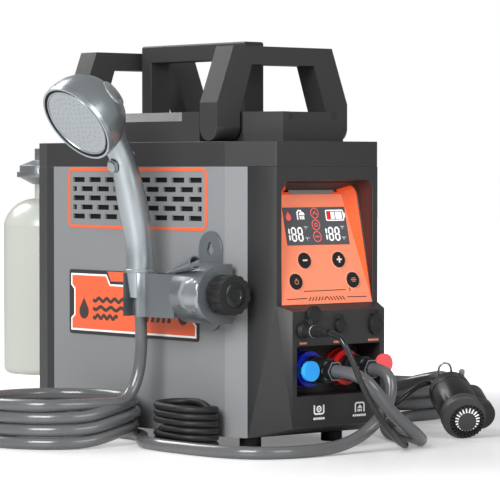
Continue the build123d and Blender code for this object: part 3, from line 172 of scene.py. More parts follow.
def finish(name, colour, rough, metal, cloud, cloud_scale, grain, grain_scale, spread=0.06,
           stretch=(1.0, 1.0, 1.0), **sockets):
    """Node material: a soft cloud in the colour and the roughness, and a fine grain in the surface."""
    if name in FINISHES:
        return FINISHES[name]
    material = bpy.data.materials.new(name)
    tree = empty_tree(material)
    darker = (*[c * (1 - cloud) for c in colour], 1.0)
    paler = (*[min(1.0, c * (1 + cloud)) for c in colour], 1.0)
    place = shader_node(tree, "TexCoord").outputs["Object"]
    place = shader_node(tree, "Mapping", {"Scale": stretch, "Vector": place}).outputs["Vector"]
    clouds = shader_node(tree, "TexNoise", {"Scale": cloud_scale, "Detail": 4.0, "Vector": place})
    cloudy = clouds.outputs["Fac"]
    mix = shader_node(tree, "Mix", {"A": darker, "B": paler, "Factor": cloudy}, data_type="RGBA")
    level = shader_node(tree, "MapRange", {
        "Value": cloudy, "From Min": CLOUD_LOW, "From Max": CLOUD_HIGH,
        "To Min": max(0.0, rough - spread), "To Max": min(1.0, rough + spread)})
    fine = shader_node(tree, "TexNoise", {"Scale": grain_scale, "Detail": 2.0, "Vector": place})
    bump = shader_node(tree, "Bump", {
        "Strength": grain, "Distance": GRAIN_DEPTH * MM, "Height": fine.outputs["Fac"]})
    shader = shader_node(tree, "BsdfPrincipled", {
        "Base Color": mix.outputs["Result"], "Roughness": level.outputs["Result"],
        "Normal": bump.outputs["Normal"], "Metallic": metal})
    for socket, value in sockets.items():
        shader.inputs[socket.replace("_", " ")].default_value = value
    shader_node(tree, "OutputMaterial", {"Surface": shader.outputs["BSDF"]})
    FINISHES[name] = material
    return material


def heater_finishes():
    """Every finish by its short name."""
    c = bpy.context.scene.heater_colours
    rows = {
        # name of the material, colour, roughness, metal, strength and scale of the cloud, strength and
        # scale of the grain and, where it isn't the usual one, the spread of the roughness
        "panel": ("panel_powder_coat", c.panel, 0.42, 0.0, 0.03, 9.0, 0.22, 1800.0),
        "shell": ("shell_moulding", c.shell, 0.5, 0.0, 0.05, 12.0, 0.3, 1300.0),
        "cap": ("cap_moulding", [v * 1.05 for v in c.shell], 0.46, 0.0, 0.05, 12.0, 0.26, 1300.0),
        "grip": ("grip_moulding", [v * 1.1 for v in c.shell], 0.48, 0.0, 0.05, 14.0, 0.3, 1100.0),
        # darker copy of the shell: painted shade on the niche's top wall
        "recess": ("recess_moulding", [v * 0.35 for v in c.shell], 0.55, 0.0, 0.05, 14.0, 0.2, 1300.0),
        # dark red: painted shade on the niche's right wall, with a painted reflection of the orange tray
        "niche_reflection": ("niche_lining", tone("4A241F"), 0.7, 0.0, 0.04, 20.0, 0.1, 1300.0),
        "rubber": ("soft_rubber", tone("121213"), 0.55, 0.0, 0.08, 30.0, 0.3, 1500.0),
        "gloss_black": ("gloss_black", tone("191A1B"), 0.22, 0.0, 0.04, 20.0, 0.02, 900.0),
        "black": ("coupler_black", tone("151617"), 0.34, 0.0, 0.05, 30.0, 0.12, 1200.0),
        "accent": ("accent_enamel", c.accent, 0.42, 0.0, 0.03, 14.0, 0.1, 1500.0),
        "tray": ("tray_moulding", c.tray, 0.3, 0.0, 0.03, 20.0, 0.06, 1200.0),
        "sheet": ("printed_sheet", c.sheet, 0.4, 0.0, 0.02, 10.0, 0.08, 1600.0),
        "window": ("display_window", c.window, 0.16, 0.0, 0.03, 25.0, 0.0, 900.0, 0.02),
        "board": ("circuit_board", tone("1F6B3C"), 0.5, 0.0, 0.12, 160.0, 0.1, 900.0),
        "copper": ("copper", tone("C9784F"), 0.32, 1.0, 0.12, 30.0, 0.1, 500.0),
        "steel": ("bright_sheet", tone("B9BCBE"), 0.38, 1.0, 0.06, 20.0, 0.1, 600.0),
        "brass": ("brass", tone("C7A04E"), 0.34, 1.0, 0.08, 30.0, 0.08, 600.0),
        "battery": ("battery_wrap", tone("2A5FA8"), 0.4, 0.0, 0.05, 20.0, 0.05, 900.0),
        "ring_cold": ("inlet_ring", c.cold, 0.3, 0.0, 0.04, 30.0, 0.05, 900.0),
        "ring_hot": ("outlet_ring", c.hot, 0.3, 0.0, 0.04, 30.0, 0.05, 900.0),
        "cap_cold": ("inlet_cap", c.cold_cap, 0.42, 0.0, 0.03, 30.0, 0.1, 900.0),
        "cap_hot": ("outlet_cap", c.hot_cap, 0.42, 0.0, 0.03, 30.0, 0.1, 900.0),
        "hose": ("soft_hose", c.hose, 0.2, 0.0, 0.06, 24.0, 0.05, 500.0),
        "cable": ("cable_jacket", tone("1F2021"), 0.24, 0.0, 0.08, 40.0, 0.1, 700.0),
        "holder": ("holder_steel", c.holder, 0.33, 0.75, 0.05, 24.0, 0.02, 900.0, 0.03),
        "handset": ("handset_satin", c.handset, 0.3, 0.92, 0.03, 16.0, 0.0, 1500.0, 0.02),
        "handset_light": ("handset_face", tone("A4AAAD"), 0.3, 0.6, 0.04, 20.0, 0.05, 1500.0),
        "enamel": ("cylinder_enamel", c.cylinder, 0.3, 0.0, 0.02, 9.0, 0.06, 220.0),
        "regulator": ("regulator_metal", tone("8A8E90"), 0.34, 0.85, 0.08, 26.0, 0.08, 700.0),
        "pump": ("pump_moulding", tone("121213"), 0.3, 0.0, 0.05, 24.0, 0.22, 1200.0),
        "strainer": ("strainer_moulding", tone("353637"), 0.45, 0.0, 0.05, 24.0, 0.25, 1200.0),
        "badge_orange": ("badge_enamel", c.accent, 0.4, 0.0, 0.02, 14.0, 0.08, 1500.0),
        "tab_grey": ("tab_print", tone("828283"), 0.4, 0.0, 0.03, 20.0, 0.04, 900.0),
        "halo": ("key_halo", tone("FFAF96"), 0.4, 0.0, 0.02, 20.0, 0.04, 900.0),
        "key_pale": ("key_sign", tone("F6D3C6"), 0.45, 0.0, 0.02, 20.0, 0.0, 900.0),
        "key_dim": ("key_sign_dim", tone("C9806A"), 0.45, 0.0, 0.02, 20.0, 0.0, 900.0),
        "label_orange": ("socket_label", tone("D98A6C"), 0.5, 0.0, 0.02, 20.0, 0.0, 900.0),
        "holder_light": ("holder_plate", tone("A6ABAE"), 0.3, 0.8, 0.08, 24.0, 0.06, 900.0),
        # plain grey; also painted highlights on the hose nuts and the painted shadow of the ratchet plate
        "nozzle": ("nozzle_grey", tone("7E8386"), 0.5, 0.0, 0.05, 30.0, 0.05, 900.0),
        # white print; also painted light in the pump strainer's slots
        "white": ("white_print", tone("F6F6F4"), 0.5, 0.0, 0.01, 20.0, 0.0, 900.0),
        "ink": ("dark_print", tone("3A2F2C"), 0.5, 0.0, 0.02, 20.0, 0.0, 900.0),
        # black: painted shade in the vent slots, in the gap round the spray plate and round the pump's intake
        "void": ("dark_inside", tone("000000"), 0.9, 0.0, 0.0, 20.0, 0.0, 900.0),
    }
    return {key: finish(*row, **FINISH_EXTRAS.get(key, {})) for key, row in rows.items()}


def lit(name, colour, strength):
    """A mark that glows faintly on the display."""
    material = finish(name, colour, 0.4, 0.0, 0.02, 20.0, 0.0, 900.0)
    shader = next(n for n in material.node_tree.nodes if n.type == "BSDF_PRINCIPLED")
    shader.inputs["Emission Color"].default_value = (*colour, 1.0)
    shader.inputs["Emission Strength"].default_value = strength
    return material


# Making pieces

class Place:
    """A flat working plane: its origin, two directions in it, and the way out of it."""

    def __init__(self, origin, right, up):
        self.origin = Vector(origin)
        self.right, self.up = Vector(right).normalized(), Vector(up).normalized()
        self.out = self.right.cross(self.up)

    def at(self, a, b, lift=0.0):
        """Scene point, in metres, of a place in the plane or lifted off it."""
        return (self.origin + self.right * a + self.up * b + self.out * lift) * MM


FACE_Y, FACE_FOOT = -195.5, 145.0
FACE_RUN, FACE_RISE = 26.0, 115.0
SLOPE = FACE_RISE / math.hypot(FACE_RUN, FACE_RISE)
HALF_WIDTH = node_box("right_panel")[1].x
CONSOLE_Y = -212.5
FACE = Place((0, FACE_Y, FACE_FOOT), (1, 0, 0), (0, FACE_RUN, FACE_RISE))
LEFT = Place((-HALF_WIDTH, 0, 0), (0, -1, 0), (0, 0, 1))
RIGHT = Place((HALF_WIDTH, 0, 0), (0, 1, 0), (0, 0, 1))
CONSOLE = Place((0, CONSOLE_Y, 0), (1, 0, 0), (0, 0, 1))
MITRE_SHARE = 0.4              # keeps the outer corner of a sharp bend short
SHARP_ANGLE, SHEET_ANGLE = 35.0, 60.0
FINE = 96                      # points round a large turned piece


def on_face(x, z):
    """Place on the control face of a point given by its own X and height."""
    return x, (z - FACE_FOOT) / SLOPE


def join_piece(name, bm, material, body, slot, smooth=SHARP_ANGLE, edge=0.0):
    """Mesh object from a bmesh, riding on a body of the model."""
    bmesh.ops.recalc_face_normals(bm, faces=bm.faces)
    mesh = bpy.data.meshes.new(name)
    bm.to_mesh(mesh)
    bm.free()
    mesh.shade_smooth()
    mesh.set_sharp_from_angle(angle=math.radians(smooth))
    piece = bpy.data.objects.new(name, mesh)
    bpy.context.scene.collection.objects.link(piece)
    mesh.materials.append(material)
    if edge:
        round_edges(piece, edge)
    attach(piece, body)
    return piece


def round_edges(piece, width, angle=40.0):
    """Small rounding on every edge that is sharper than the angle."""
    bevel = piece.modifiers.new("rounding", "BEVEL")
    bevel.width = width * MM
    bevel.segments = 2
    bevel.limit_method = "ANGLE"
    bevel.angle_limit = math.radians(angle)
    bevel.harden_normals = True


def thicken(piece, thickness, offset):
    """Sheet thickness of an open surface."""
    skin = piece.modifiers.new("sheet", "SOLIDIFY")
    skin.thickness = thickness * MM
    skin.offset = offset


def bridge(bm, rows, closed):
    """Faces between neighbouring rows of points; a row may be a single point."""
    for first, second in zip(rows, rows[1:]):
        count = max(len(first), len(second))
        for i in range(count if closed else count - 1):
            j = (i + 1) % count
            around = [first[i % len(first)], first[j % len(first)],
                      second[j % len(second)], second[i % len(second)]]
            face = list(dict.fromkeys(around))
            if len(face) > 2:
                bm.faces.new(face)


def plate(name, place, faces, low, high, material, body=CABINET, slot=None, edge=0.0):
    """Flat piece of the given outlines between two heights above a working plane."""
    bm = bmesh.new()
    corners = {}

    def corner(a, b):
        key = (round(a, 3), round(b, 3))
        if key not in corners:
            corners[key] = bm.verts.new(place.at(a, b, low))
        return corners[key]

    for face in faces:
        bm.faces.new([corner(a, b) for a, b in face])
    raised = bmesh.ops.extrude_face_region(bm, geom=bm.faces[:])
    lifted = [v for v in raised["geom"] if isinstance(v, bmesh.types.BMVert)]
    bmesh.ops.translate(bm, vec=place.out * (high - low) * MM, verts=lifted)
    return join_piece(name, bm, material, body, slot, edge=edge)


def turned(name, profile, origin, axis, material, body=CABINET, slot=None, steps=64, smooth=SHARP_ANGLE):
    """Turned piece: the profile is (radius, distance along the axis)."""
    axis = Vector(axis).normalized()
    side = axis.orthogonal().normalized()
    other = axis.cross(side)
    bm = bmesh.new()
    rows = []
    for radius, along in profile:
        centre = Vector(origin) + axis * along
        turns = [2 * math.pi * i / steps for i in range(steps if radius else 1)]
        rows.append([bm.verts.new((centre + (side * math.cos(t) + other * math.sin(t)) * radius) * MM)
                     for t in turns])
    bridge(bm, rows, closed=True)
    return join_piece(name, bm, material, body, slot, smooth)


def round_box(half_a, half_b, radius, steps=6):
    """Outline of a rectangle with rounded corners."""
    points = []
    for sa, sb, start in ((1, 1, 0), (-1, 1, 90), (-1, -1, 180), (1, -1, 270)):
        for i in range(steps + 1):
            t = math.radians(start + 90 * i / steps)
            points.append((sa * (half_a - radius) + radius * math.cos(t),
                           sb * (half_b - radius) + radius * math.sin(t)))
    return points


def moved(points, a, b):
    return [(p + a, q + b) for p, q in points]


def circle(radius, a=0.0, b=0.0, steps=32):
    turns = [2 * math.pi * i / steps for i in range(steps)]
    return [(a + radius * math.cos(t), b + radius * math.sin(t)) for t in turns]


def ring(outer, inner):
    """Faces between two outlines with the same number of points."""
    count = len(outer)
    return [[outer[i], outer[(i + 1) % count], inner[(i + 1) % count], inner[i]] for i in range(count)]


def stroke(points, width, closed=False):
    """Faces of a line of even width along the points."""
    count = len(points)
    left, right = [], []
    for i, (a, b) in enumerate(points):
        before = points[i - 1] if i or closed else points[i]
        after = points[(i + 1) % count] if i < count - 1 or closed else points[i]
        ways = []
        for (p, q), (r, s) in ((before, (a, b)), ((a, b), after)):
            length = math.hypot(r - p, s - q)
            if length > 0.0:
                ways.append(((r - p) / length, (s - q) / length))
        dx, dy = sum(w[0] for w in ways), sum(w[1] for w in ways)
        length = math.hypot(dx, dy)
        dx, dy = dx / length, dy / length
        share = dx * ways[0][0] + dy * ways[0][1]
        reach = width / 2 / max(share, MITRE_SHARE)
        left.append((a - dy * reach, b + dx * reach))
        right.append((a + dy * reach, b - dx * reach))
    span = range(count if closed else count - 1)
    return [[left[i], right[i], right[(i + 1) % count], left[(i + 1) % count]] for i in span]


# Stage, in metres

VIEW_PLACE, VIEW_DOWN, VIEW_TURN = (-1.9083, -2.3248, 0.283), 1.68, 40.3
VIEW_LENS, VIEW_SENSOR, VIEW_CLIP = 204.8, 36.0, (0.1, 50.0)
LAMP_SIZE = 1.0
# Each lamp, its place and the point it faces
LAMPS = (("key", (-1.65, -0.75, 1.1), (0.0, -0.05, 0.2)),
         ("fill", (-0.1, -1.9, 0.9), (0.0, -0.15, 0.15)),
         ("rim", (-0.3, 1.6, 1.5), (0.0, 0.1, 0.25)))
FLOOR_HALF = 9.0
FLOOR_DARKER, FLOOR_PALER = (0.80, 0.80, 0.80, 1.0), (0.83, 0.83, 0.83, 1.0)
FLOOR_FADE_START, FLOOR_FADE_END = 0.35, 1.1
FLOOR_GLOW_NEAR, FLOOR_GLOW_FAR = 0.2, 1.0
WHITE = (1.0, 1.0, 1.0, 1.0)


class HEATER_OT_stage(bpy.types.Operator):
    """Camera, lamps, floor and white room"""
    bl_idname = "heater.stage"
    bl_label = "Stage"

    def execute(self, context):
        scene = context.scene
        scene.view_settings.view_transform = "Standard"
        camera = bpy.data.cameras.new("view_camera")
        camera.lens, camera.sensor_width = VIEW_LENS, VIEW_SENSOR
        camera.clip_start, camera.clip_end = VIEW_CLIP
        eye = bpy.data.objects.new("view_camera", camera)
        eye.location = VIEW_PLACE
        eye.rotation_euler = (math.radians(90 - VIEW_DOWN), 0.0, math.radians(-VIEW_TURN))
        scene.collection.objects.link(eye)
        scene.camera = eye
        for key, place, target in LAMPS:
            self.lamp(f"{key}_softbox", place, target, getattr(scene.heater_stage, key))
        self.floor()
        self.room(scene.heater_stage.surround)
        return {"FINISHED"}

    def lamp(self, name, place, target, power):
        data = bpy.data.lights.new(name, "AREA")
        data.size, data.energy = LAMP_SIZE, power
        lamp = bpy.data.objects.new(name, data)
        lamp.location = place
        lamp.rotation_euler = (Vector(target) - Vector(place)).to_track_quat("-Z", "Y").to_euler()
        bpy.context.scene.collection.objects.link(lamp)

    def floor(self):
        bm = bmesh.new()
        bmesh.ops.create_grid(bm, x_segments=8, y_segments=8, size=FLOOR_HALF)
        mesh = bpy.data.meshes.new("studio_floor")
        bm.to_mesh(mesh)
        bm.free()
        floor = bpy.data.objects.new("studio_floor", mesh)
        bpy.context.scene.collection.objects.link(floor)
        mesh.materials.append(self.floor_finish())

    def floor_finish(self):
        """Pale satin floor; where the camera sees it, a glow takes it to white away from the heater."""
        material = bpy.data.materials.new("studio_floor")
        tree = empty_tree(material)
        grain = shader_node(tree, "TexNoise", {"Scale": 60.0}).outputs["Fac"]
        tint = shader_node(tree, "Mix", {"A": FLOOR_DARKER, "B": FLOOR_PALER, "Factor": grain},
                           data_type="RGBA").outputs["Result"]
        shader = shader_node(tree, "BsdfPrincipled", {"Base Color": tint, "Roughness": 0.32})
        place = shader_node(tree, "TexCoord").outputs["Object"]
        away = shader_node(tree, "VectorMath", {0: place}, operation="LENGTH").outputs["Value"]
        fade = shader_node(tree, "MapRange", {
            "Value": away, "From Min": FLOOR_FADE_START, "From Max": FLOOR_FADE_END,
            "To Min": FLOOR_GLOW_NEAR, "To Max": FLOOR_GLOW_FAR}, interpolation_type="SMOOTHSTEP")
        path = shader_node(tree, "LightPath")
        seen = shader_node(tree, "Math", {0: path.outputs["Is Camera Ray"], 1: fade.outputs["Result"]},
                           operation="MULTIPLY")
        glow = shader_node(tree, "Emission", {"Strength": seen.outputs[0]})
        both = shader_node(tree, "AddShader", {0: shader.outputs["BSDF"], 1: glow.outputs["Emission"]})
        shader_node(tree, "OutputMaterial", {"Surface": both.outputs["Shader"]})
        return material

    def room(self, surround):
        """White room, at full white where the camera sees it directly or through something clear."""
        world = bpy.data.worlds.new("white_room")
        bpy.context.scene.world = world
        tree = empty_tree(world)
        path = shader_node(tree, "LightPath").outputs
        seen = shader_node(tree, "Math", {0: path["Is Camera Ray"], 1: path["Is Transmission Ray"]},
                           operation="MAXIMUM")
        level = shader_node(tree, "MapRange", {"Value": seen.outputs[0], "To Min": surround, "To Max": 1.0})
        back = shader_node(tree, "Background", {"Color": WHITE, "Strength": level.outputs["Result"]})
        shader_node(tree, "OutputWorld", {"Surface": back.outputs["Background"]})


# Hoses and cables: (x, y, z) of each point of the centre line

SHOWER_ROUTE = [(27.0, -232.0, 80.0), (27.0, -248.0, 80.0), (26.5, -259.5, 71.5), (25.0, -262.0, 57.0),
                (19.0, -260.0, 42.5), (8.0, -258.0, 28.5), (-11.0, -256.5, 16.0), (-40.0, -257.0, 8.0),
                (-75.0, -257.0, 6.25), (-112.0, -253.0, 6.25), (-138.0, -233.0, 6.25),
                (-149.5, -195.0, 6.25), (-151.0, -148.0, 6.25), (-150.0, -110.0, 6.25),
                (-145.5, -83.0, 6.25), (-134.0, -62.5, 6.25), (-117.5, -45.0, 6.25), (-104.5, -26.0, 6.25),
                (-97.2, -2.0, 6.25)]
RISER_ROUTE = [(-157.0, -51.1, 43.75), (-145.5, -48.4, 45.0), (-134.0, -46.5, 53.0), (-125.0, -46.5, 71.0),
               (-121.5, -47.0, 96.0), (-122.0, -47.0, 124.0), (-123.5, -47.0, 151.0)]
INLET_ROUTE = [(-22.0, -232.0, 80.0), (-22.0, -254.0, 80.0), (-18.0, -270.0, 74.0), (-9.4, -278.5, 61.0),
               (4.0, -279.0, 45.5), (24.0, -276.6, 31.0), (49.1, -270.9, 17.5), (68.7, -259.9, 8.5),
               (83.7, -242.9, 6.5), (96.8, -220.2, 6.5), (116.0, -182.0, 6.5), (142.0, -143.0, 6.5),
               (174.0, -100.0, 6.5), (212.0, -66.0, 6.5), (256.1, -38.7, 6.5)]
PUMP_HOSE_ROUTE = [(170.0, 14.0, 31.0), (188.0, -15.0, 32.0), (214.0, -37.0, 38.0), (233.0, -66.0, 46.0),
                   (240.0, -93.0, 53.0), (236.0, -117.0, 56.5), (225.0, -133.0, 55.5),
                   (222.75, -142.63, 53.58), (214.26, -156.39, 48.31)]
CABLE_ROUTE = [(-50.0, -249.0, 120.5), (-48.9, -265.0, 118.5), (-49.0, -273.0, 112.0), (-46.5, -278.0, 102.0),
               (-43.0, -282.5, 89.0), (-38.5, -286.5, 74.0), (-32.0, -290.5, 58.0), (-23.0, -294.0, 41.5),
               (-9.0, -292.0, 27.0), (12.3, -283.0, 13.5), (38.6, -266.9, 4.5), (61.6, -245.9, 3.0),
               (81.0, -217.6, 3.0), (98.0, -187.0, 3.0), (115.0, -156.0, 4.0), (130.0, -136.0, 11.0),
               (147.0, -121.0, 20.0), (165.0, -112.0, 25.0), (184.0, -114.0, 37.0), (197.0, -122.0, 49.0),
               (208.14, -135.85, 52.96), (199.15, -150.41, 47.38)]
LEAD_OUT = [(-74.0, -57.0, 28.0), (-90.0, -57.3, 27.8), (-94.6, -68.0, 25.0), (-94.3, -84.0, 24.5)]
LEAD_TAIL = [(-127.5, -87.5, 17.0), (-121.5, -81.5, 13.5), (-115.5, -83.5, 10.0), (-114.9, -93.0, 7.6),
             (-115.0, -104.5, 7.0)]
# COIL_STEPS is the points in one turn of a coil. A CLIMB is the angle at which a turn starts to rise over
# the one below it, and the angle that takes.
COIL_STEPS = 14
SHOWER_COIL_MIDDLE, SHOWER_COIL_RADIUS, SHOWER_COIL_SWAY = (-173.6, 24.9), 79.6, 1.3
SHOWER_COIL_LOW, SHOWER_COIL_PITCH, SHOWER_CLIMB = 6.25, 12.6, (250.0, 52.0)
INLET_COIL_MIDDLE, INLET_COIL_RADIUS, INLET_COIL_START = (274.0, 59.7), 102.4, -77.0
INLET_COIL_LOW, INLET_COIL_PITCH, INLET_CLIMB = 6.5, 13.1, (178.0, 54.0)
INLET_FAN_START, INLET_FAN_SPAN, INLET_FAN = 760.0, 132.0, 13.0
SHOWER_COIL_POINTS, INLET_COIL_POINTS = range(1, 52), range(38)
# HANK_RUN is half of the straight part of the hank, HANK_BEND the radius of its ends
HANK_MIDDLE, HANK_RUN, HANK_BEND, HANK_EASE = (-115.0, -111.0), 14.5, 21.0, 1.02
HANK_STEPS, HANK_POINTS = 14, 94
HANK_START, HANK_TOP, HANK_LOW = 24.5, 45.6, 3.5
HANK_UP_PITCH, HANK_REST_PITCH = 7.05, 7.0
HANK_INWARD, HANK_GOES_IN, HANK_COMES_OUT = 7.4, 0.14, 0.1
HANK_FALL_START, HANK_FALL_SPAN = 0.12, 0.76


def climb(angle, place, rise, turns):
    """Height gained along a coil whose turns step up over one place, at most so many times."""
    height = 0.0
    start, width = place
    while start < angle:
        share = min(1.0, (angle - start) / width)
        height += rise * share * share * (3 - 2 * share)
        start += 360.0
    return min(height, rise * turns)


def coil(middle, start, numbers, radius_at, height_at):
    """Points of a coil, whose radius and height depend on the angle in degrees."""
    points = []
    for index in numbers:
        angle = start + index * 360.0 / COIL_STEPS
        radius, t = radius_at(angle), math.radians(angle)
        points.append((middle[0] + radius * math.cos(t), middle[1] + radius * math.sin(t), height_at(angle)))
    return points


def shower_coil():
    """Turns beside the cabinet, a little uneven, each stepping up over the one below."""
    def radius_at(angle):
        return SHOWER_COIL_RADIUS + SHOWER_COIL_SWAY * math.sin(math.radians(angle * 0.61))

    def height_at(angle):
        return SHOWER_COIL_LOW + climb(angle, SHOWER_CLIMB, SHOWER_COIL_PITCH, 3)

    return coil(SHOWER_COIL_MIDDLE, 0.0, SHOWER_COIL_POINTS, radius_at, height_at)


def inlet_coil():
    """Turns behind the pump, the last of which opens out towards it."""
    def radius_at(angle):
        return INLET_COIL_RADIUS + INLET_FAN * max(0.0, (angle - INLET_FAN_START) / INLET_FAN_SPAN)

    def height_at(angle):
        return INLET_COIL_LOW + climb(angle, INLET_CLIMB, INLET_COIL_PITCH, 2)

    return coil(INLET_COIL_MIDDLE, INLET_COIL_START, INLET_COIL_POINTS, radius_at, height_at)


def hank_level(turn):
    """Height of the lead after so many turns of the hank, and how far inside the loop it lies there.

    Three turns climb to the top, the fourth goes down inside them, and the rest climb from the floor.
    """
    if turn <= 3.0:
        return HANK_START + HANK_UP_PITCH * turn, 0.0
    if turn <= 4.0:
        share = turn - 3.0
        fall = max(0.0, min(1.0, (share - HANK_FALL_START) / HANK_FALL_SPAN))
        inward = HANK_INWARD * min(1.0, share / HANK_GOES_IN, (1.0 - share) / HANK_COMES_OUT)
        return HANK_TOP - (HANK_TOP - HANK_LOW) * fall, inward
    return HANK_LOW + HANK_REST_PITCH * (turn - 4.0), 0.0


def hank_place(way, radius):
    """Point so far along the hank's loop: forward on one side, round, back on the other and round."""
    x, y = HANK_MIDDLE
    straight, half_round = 2 * HANK_RUN, math.pi * HANK_BEND
    if way < straight:
        return x + radius, y + HANK_RUN - way
    if way < straight + half_round:
        t = -(way - straight) / HANK_BEND
        return x + radius * math.cos(t), y - HANK_RUN + radius * math.sin(t)
    if way < 2 * straight + half_round:
        return x - radius, y - HANK_RUN + (way - straight - half_round)
    t = math.pi - (way - 2 * straight - half_round) / HANK_BEND
    return x + radius * math.cos(t), y + HANK_RUN + radius * math.sin(t)


def lead_loops():
    """Supply lead: out of the panel, wound into a hank and back to its plug inside the hank."""
    length = 4 * HANK_RUN + 2 * math.pi * HANK_BEND
    hank = []
    for index in range(HANK_POINTS):
        turn = index / HANK_STEPS
        z, inward = hank_level(turn)
        hank.append((*hank_place((turn % 1.0) * length, (HANK_BEND - inward) * HANK_EASE), z))
    return LEAD_OUT + hank + LEAD_TAIL


def route_curve(name, points, diameter):
    """One open smooth spline through the space of the route's points."""
    curve = bpy.data.curves.new(name, "CURVE")
    curve.dimensions = "3D"
    spline = curve.splines.new("NURBS")
    spline.points.add(len(points) - 1)
    for point, (x, y, z) in zip(spline.points, points):
        point.co = (x * MM, y * MM, z * MM, 1.0)
    spline.order_u = 3
    spline.use_endpoint_u = True
    curve.resolution_u = 12
    curve.bevel_depth = diameter / 2
    curve.bevel_resolution = 8
    curve.use_fill_caps = True
    line = bpy.data.objects.new(name, curve)
    bpy.context.scene.collection.objects.link(line)
    return line


def fixed_line(name, points, diameter, material):
    """Tube along a route, on the cabinet."""
    line = route_curve(name, points, diameter)
    line.data.materials.append(material)
    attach(line, CABINET)
    return line


def curve_mesh(line):
    bpy.context.view_layer.update()
    evaluated = line.evaluated_get(bpy.context.evaluated_depsgraph_get())
    return bpy.data.meshes.new_from_object(evaluated)


class HEATER_OT_shower_hose(bpy.types.Operator):
    """Shower hose: outlet, floor, coil and up to the cone nut in the clip"""
    bl_idname = "heater.shower_hose"
    bl_label = "Shower hose"

    def execute(self, context):
        diameter = context.scene.heater_sizes.hose_diameter
        points = SHOWER_ROUTE + shower_coil() + RISER_ROUTE
        line = route_curve("shower_hose_line", points, 0.0)
        path = [tuple(v.co) for v in curve_mesh(line).vertices]
        line.data.bevel_depth = diameter / 2
        mesh = curve_mesh(line)
        mesh.name = "shower_hose_tube"
        bpy.data.objects.remove(line)
        mesh.materials.clear()
        mesh.materials.append(heater_finishes()["hose"])
        mesh.shade_smooth()
        hose = bpy.data.objects.new("shower_hose_tube", mesh)
        context.scene.collection.objects.link(hose)
        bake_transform(hose)
        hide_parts("shower_hose", "shower_hose_coil", "shower_hose_riser")
        return {"FINISHED"}


class HEATER_OT_inlet_hose(bpy.types.Operator):
    """Inlet hose: from the inlet over the floor to its coil and on to the pump"""
    bl_idname = "heater.inlet_hose"
    bl_label = "Inlet hose"

    def execute(self, context):
        diameter = context.scene.heater_sizes.inlet_diameter
        hose = fixed_line("inlet_hose_tube", INLET_ROUTE + inlet_coil() + PUMP_HOSE_ROUTE, diameter,
                          heater_finishes()["hose"])
        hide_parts("inlet_hose", "inlet_hose_coil")
        return {"FINISHED"}


class HEATER_OT_pump_cable(bpy.types.Operator):
    """Cable from the pump plug over the floor to the pump"""
    bl_idname = "heater.pump_cable"
    bl_label = "Pump cable"

    def execute(self, context):
        diameter = context.scene.heater_sizes.cable_diameter
        cable = fixed_line("pump_cable_line", CABLE_ROUTE, diameter,
                           heater_finishes()["cable"])
        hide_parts("pump_cable")
        return {"FINISHED"}


class HEATER_OT_supply_lead(bpy.types.Operator):
    """Supply lead, wound into a hank beside the cabinet"""
    bl_idname = "heater.supply_lead"
    bl_label = "Supply lead"

    def execute(self, context):
        diameter = context.scene.heater_sizes.lead_diameter
        lead = fixed_line("supply_lead_line", lead_loops(), diameter,
                          heater_finishes()["rubber"])
        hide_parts("supply_lead", "supply_lead_hank")
        return {"FINISHED"}


# Painted and printed marks

def drop(a, b, radius, steps=20):
    """Outline of a drop with its tip up."""
    points = [(a, b + 1.8 * radius)]
    for i in range(steps + 1):
        t = math.radians(35 - 250 * i / steps)
        points.append((a + radius * math.cos(t), b + radius * math.sin(t)))
    return points


def bar(a0, a1, b0, b1):
    return [(a0, b0), (a1, b0), (a1, b1), (a0, b1)]


def tick_row(a0, a1, b0, b1, count):
    """A short row of blocks, in place of words."""
    pitch = (a1 - a0) / count
    return [bar(a0 + i * pitch, a0 + (i + 0.72) * pitch, b0, b1) for i in range(count)]


def digit(shape, a, b, width, height, line):
    """Seven-segment digit with its lower left corner at a, b; the shape lists the lit segments."""
    half, gap = line / 2, 0.14 * line
    left, right = a + half, a + width - half
    low, mid, high = b + half, b + height / 2, b + height - half
    spans = {"a": (left, high, True), "g": (left, mid, True), "d": (left, low, True),
             "f": (left, mid, False), "b": (right, mid, False),
             "e": (left, low, False), "c": (right, low, False)}
    faces = []
    for key in shape:
        x, z, flat = spans[key]
        length = (width - line if flat else height / 2 - half) - 2 * gap
        far = length - half
        block = [(0, 0), (half, half), (far, half), (length, 0), (far, -half), (half, -half)]
        faces.append([(x + gap + p, z + q) if flat else (x - q, z + gap + p) for p, q in block])
    return faces


def number(shapes, a, b, width, height, line, pitch):
    faces = []
    for i, shape in enumerate(shapes):
        faces += digit(shape, a + i * pitch, b, width, height, line)
    return faces


VENT_HALF_LENGTH, VENT_HALF_HEIGHT, VENT_CORNER, VENT_SHADE_CORNER = 115.0, 30.3, 6.0, 3.0
VENT_MIDDLE, VENT_HEIGHT = 5.3, 249.8
# Rise of the outline, and back and front of the black plate behind the slots that is painted shade
TRIM_RISE, VENT_SHADE_BACK, VENT_SHADE_FRONT = 0.4, -4.4, -3.4
SMALL_EDGE = 0.12


def vent_outline(middle, grow, corner):
    """Outline round the vent slots, wider by so much on every side."""
    box = round_box(VENT_HALF_LENGTH + grow, VENT_HALF_HEIGHT + grow, corner + grow)
    return moved(box, middle, VENT_HEIGHT)


